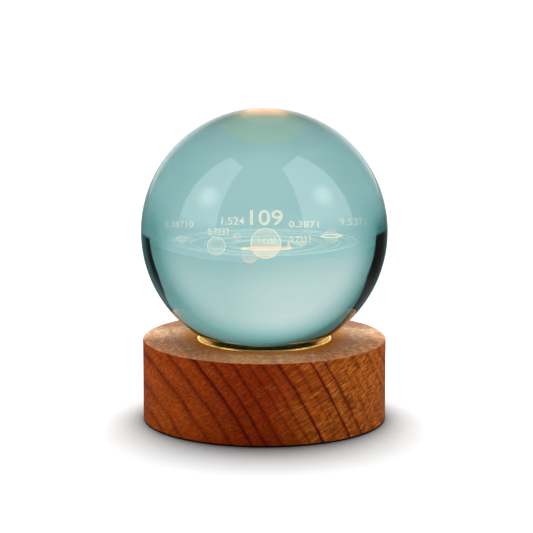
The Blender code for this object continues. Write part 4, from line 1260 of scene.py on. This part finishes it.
def plane(name, corners):
    """A flat light with a material of its own name, and that material's node tree."""
    mesh = bpy.data.meshes.new(name)
    mesh.from_pydata([tuple(corner) for corner in corners], [], [(0, 1, 2, 3)])
    paint, n = blank(name)
    mesh.materials.append(paint)
    return add_object(name, mesh), n


def hide_from(made, *rays):
    for kind in rays:
        setattr(made, "visible_" + kind, False)


def unlit_group(floor):
    """A group that leaves the floor out of the softboxes' light, so that it keeps its shadow."""
    group = bpy.data.collections.new("unlit")
    group.objects.link(floor)
    group.collection_objects[0].light_linking.link_state = "EXCLUDE"
    return group


def make_softbox(name, azimuth, half_angle, spot_azimuth, unlit):
    """An upright light beside the camera, dimmer at its foot and with a brighter middle."""
    middle = radians(azimuth)
    out = Vector((sin(middle), -cos(middle), 0))
    along = Vector((cos(middle), sin(middle), 0))
    half = SOFTBOX_DISTANCE * tan(radians(half_angle))
    foot = BALL_CENTRE.z
    top = foot + hypot(SOFTBOX_DISTANCE, half) * tan(radians(SOFTBOX_TOP_ANGLE))
    middle = out * SOFTBOX_DISTANCE
    points = [middle + along * a + Vector((0, 0, h)) for a, h in rectangle(half, foot, top)]
    made, n = plane(name, points)

    turn = radians(spot_azimuth)
    height = foot + SOFTBOX_DISTANCE * tan(radians(SPOT_ELEVATION))
    spot = (SOFTBOX_DISTANCE * sin(turn), -SOFTBOX_DISTANCE * cos(turn), height)
    place = n.node("TexCoord").outputs["Object"]
    fade = n.step(n.separate(place)[2], foot, foot + FOOT_FADE)
    distance = n.length(n.vector("SUBTRACT", place, spot))
    hot = n.step(distance, 0.0, SPOT_RADIUS, SPOT_STRENGTH, 0.0)
    strength = n.times(n.plus(SOFTBOX_STRENGTH, hot), fade)
    n.finish(n.use("Emission", Color=(1.0, 0.98, 0.97), Strength=strength))
    hide_from(made, "camera", "transmission", "shadow")
    made.light_linking.receiver_collection = unlit


# Light that the ball throws on the table behind it, as the glass shows it along its upper rim
GLOW_HALF_WIDTH = 6.5 * MM
GLOW_NEAR, GLOW_FAR = 23.0 * MM, 43.0 * MM
GLOW_HEIGHT = 20.6 * MM
GLOW_STRENGTH = 7.0


def make_glow():
    corners = rectangle(GLOW_HALF_WIDTH, GLOW_NEAR, GLOW_FAR)
    made, n = plane("warm_glow", [(*corner, GLOW_HEIGHT) for corner in corners])
    x, y, _ = n.separate(n.here())
    across = n.step(n.size(x), 1.0, 6.0, 1.0, 0.0)
    deep = n.step(y, 29.0, 43.0, 1.0, 0.0)
    light = n.use("Emission", Color=(1.0, 0.4, 0.24), Strength=GLOW_STRENGTH)
    bright = n.times(across, deep)
    n.finish(n.fed(n.node("MixShader"), bright, n.use("BsdfTransparent"), light))
    hide_from(made, "camera", "diffuse", "glossy", "shadow", "volume_scatter")


def make_camera():
    camera = bpy.data.cameras.new("camera")
    camera.lens = FOCAL_LENGTH
    camera.sensor_width = 36.0
    camera.clip_start, camera.clip_end = 0.05, 20.0
    made = add_object("camera", camera)
    elevation = radians(CAMERA_ELEVATION)
    made.location = (
        CAMERA_SIDE,
        -CAMERA_DISTANCE * cos(elevation),
        BALL_CENTRE.z + CAMERA_DISTANCE * sin(elevation),
    )
    made.rotation_euler = (radians(90 - CAMERA_PITCH), 0, 0)
    bpy.context.scene.camera = made


studio_floor = make_floor()
make_world()
unlit = unlit_group(studio_floor)
for softbox in SOFTBOXES:
    make_softbox(*softbox, unlit)
make_glow()
make_camera()

scene = bpy.context.scene
scene.view_settings.view_transform = "Standard"
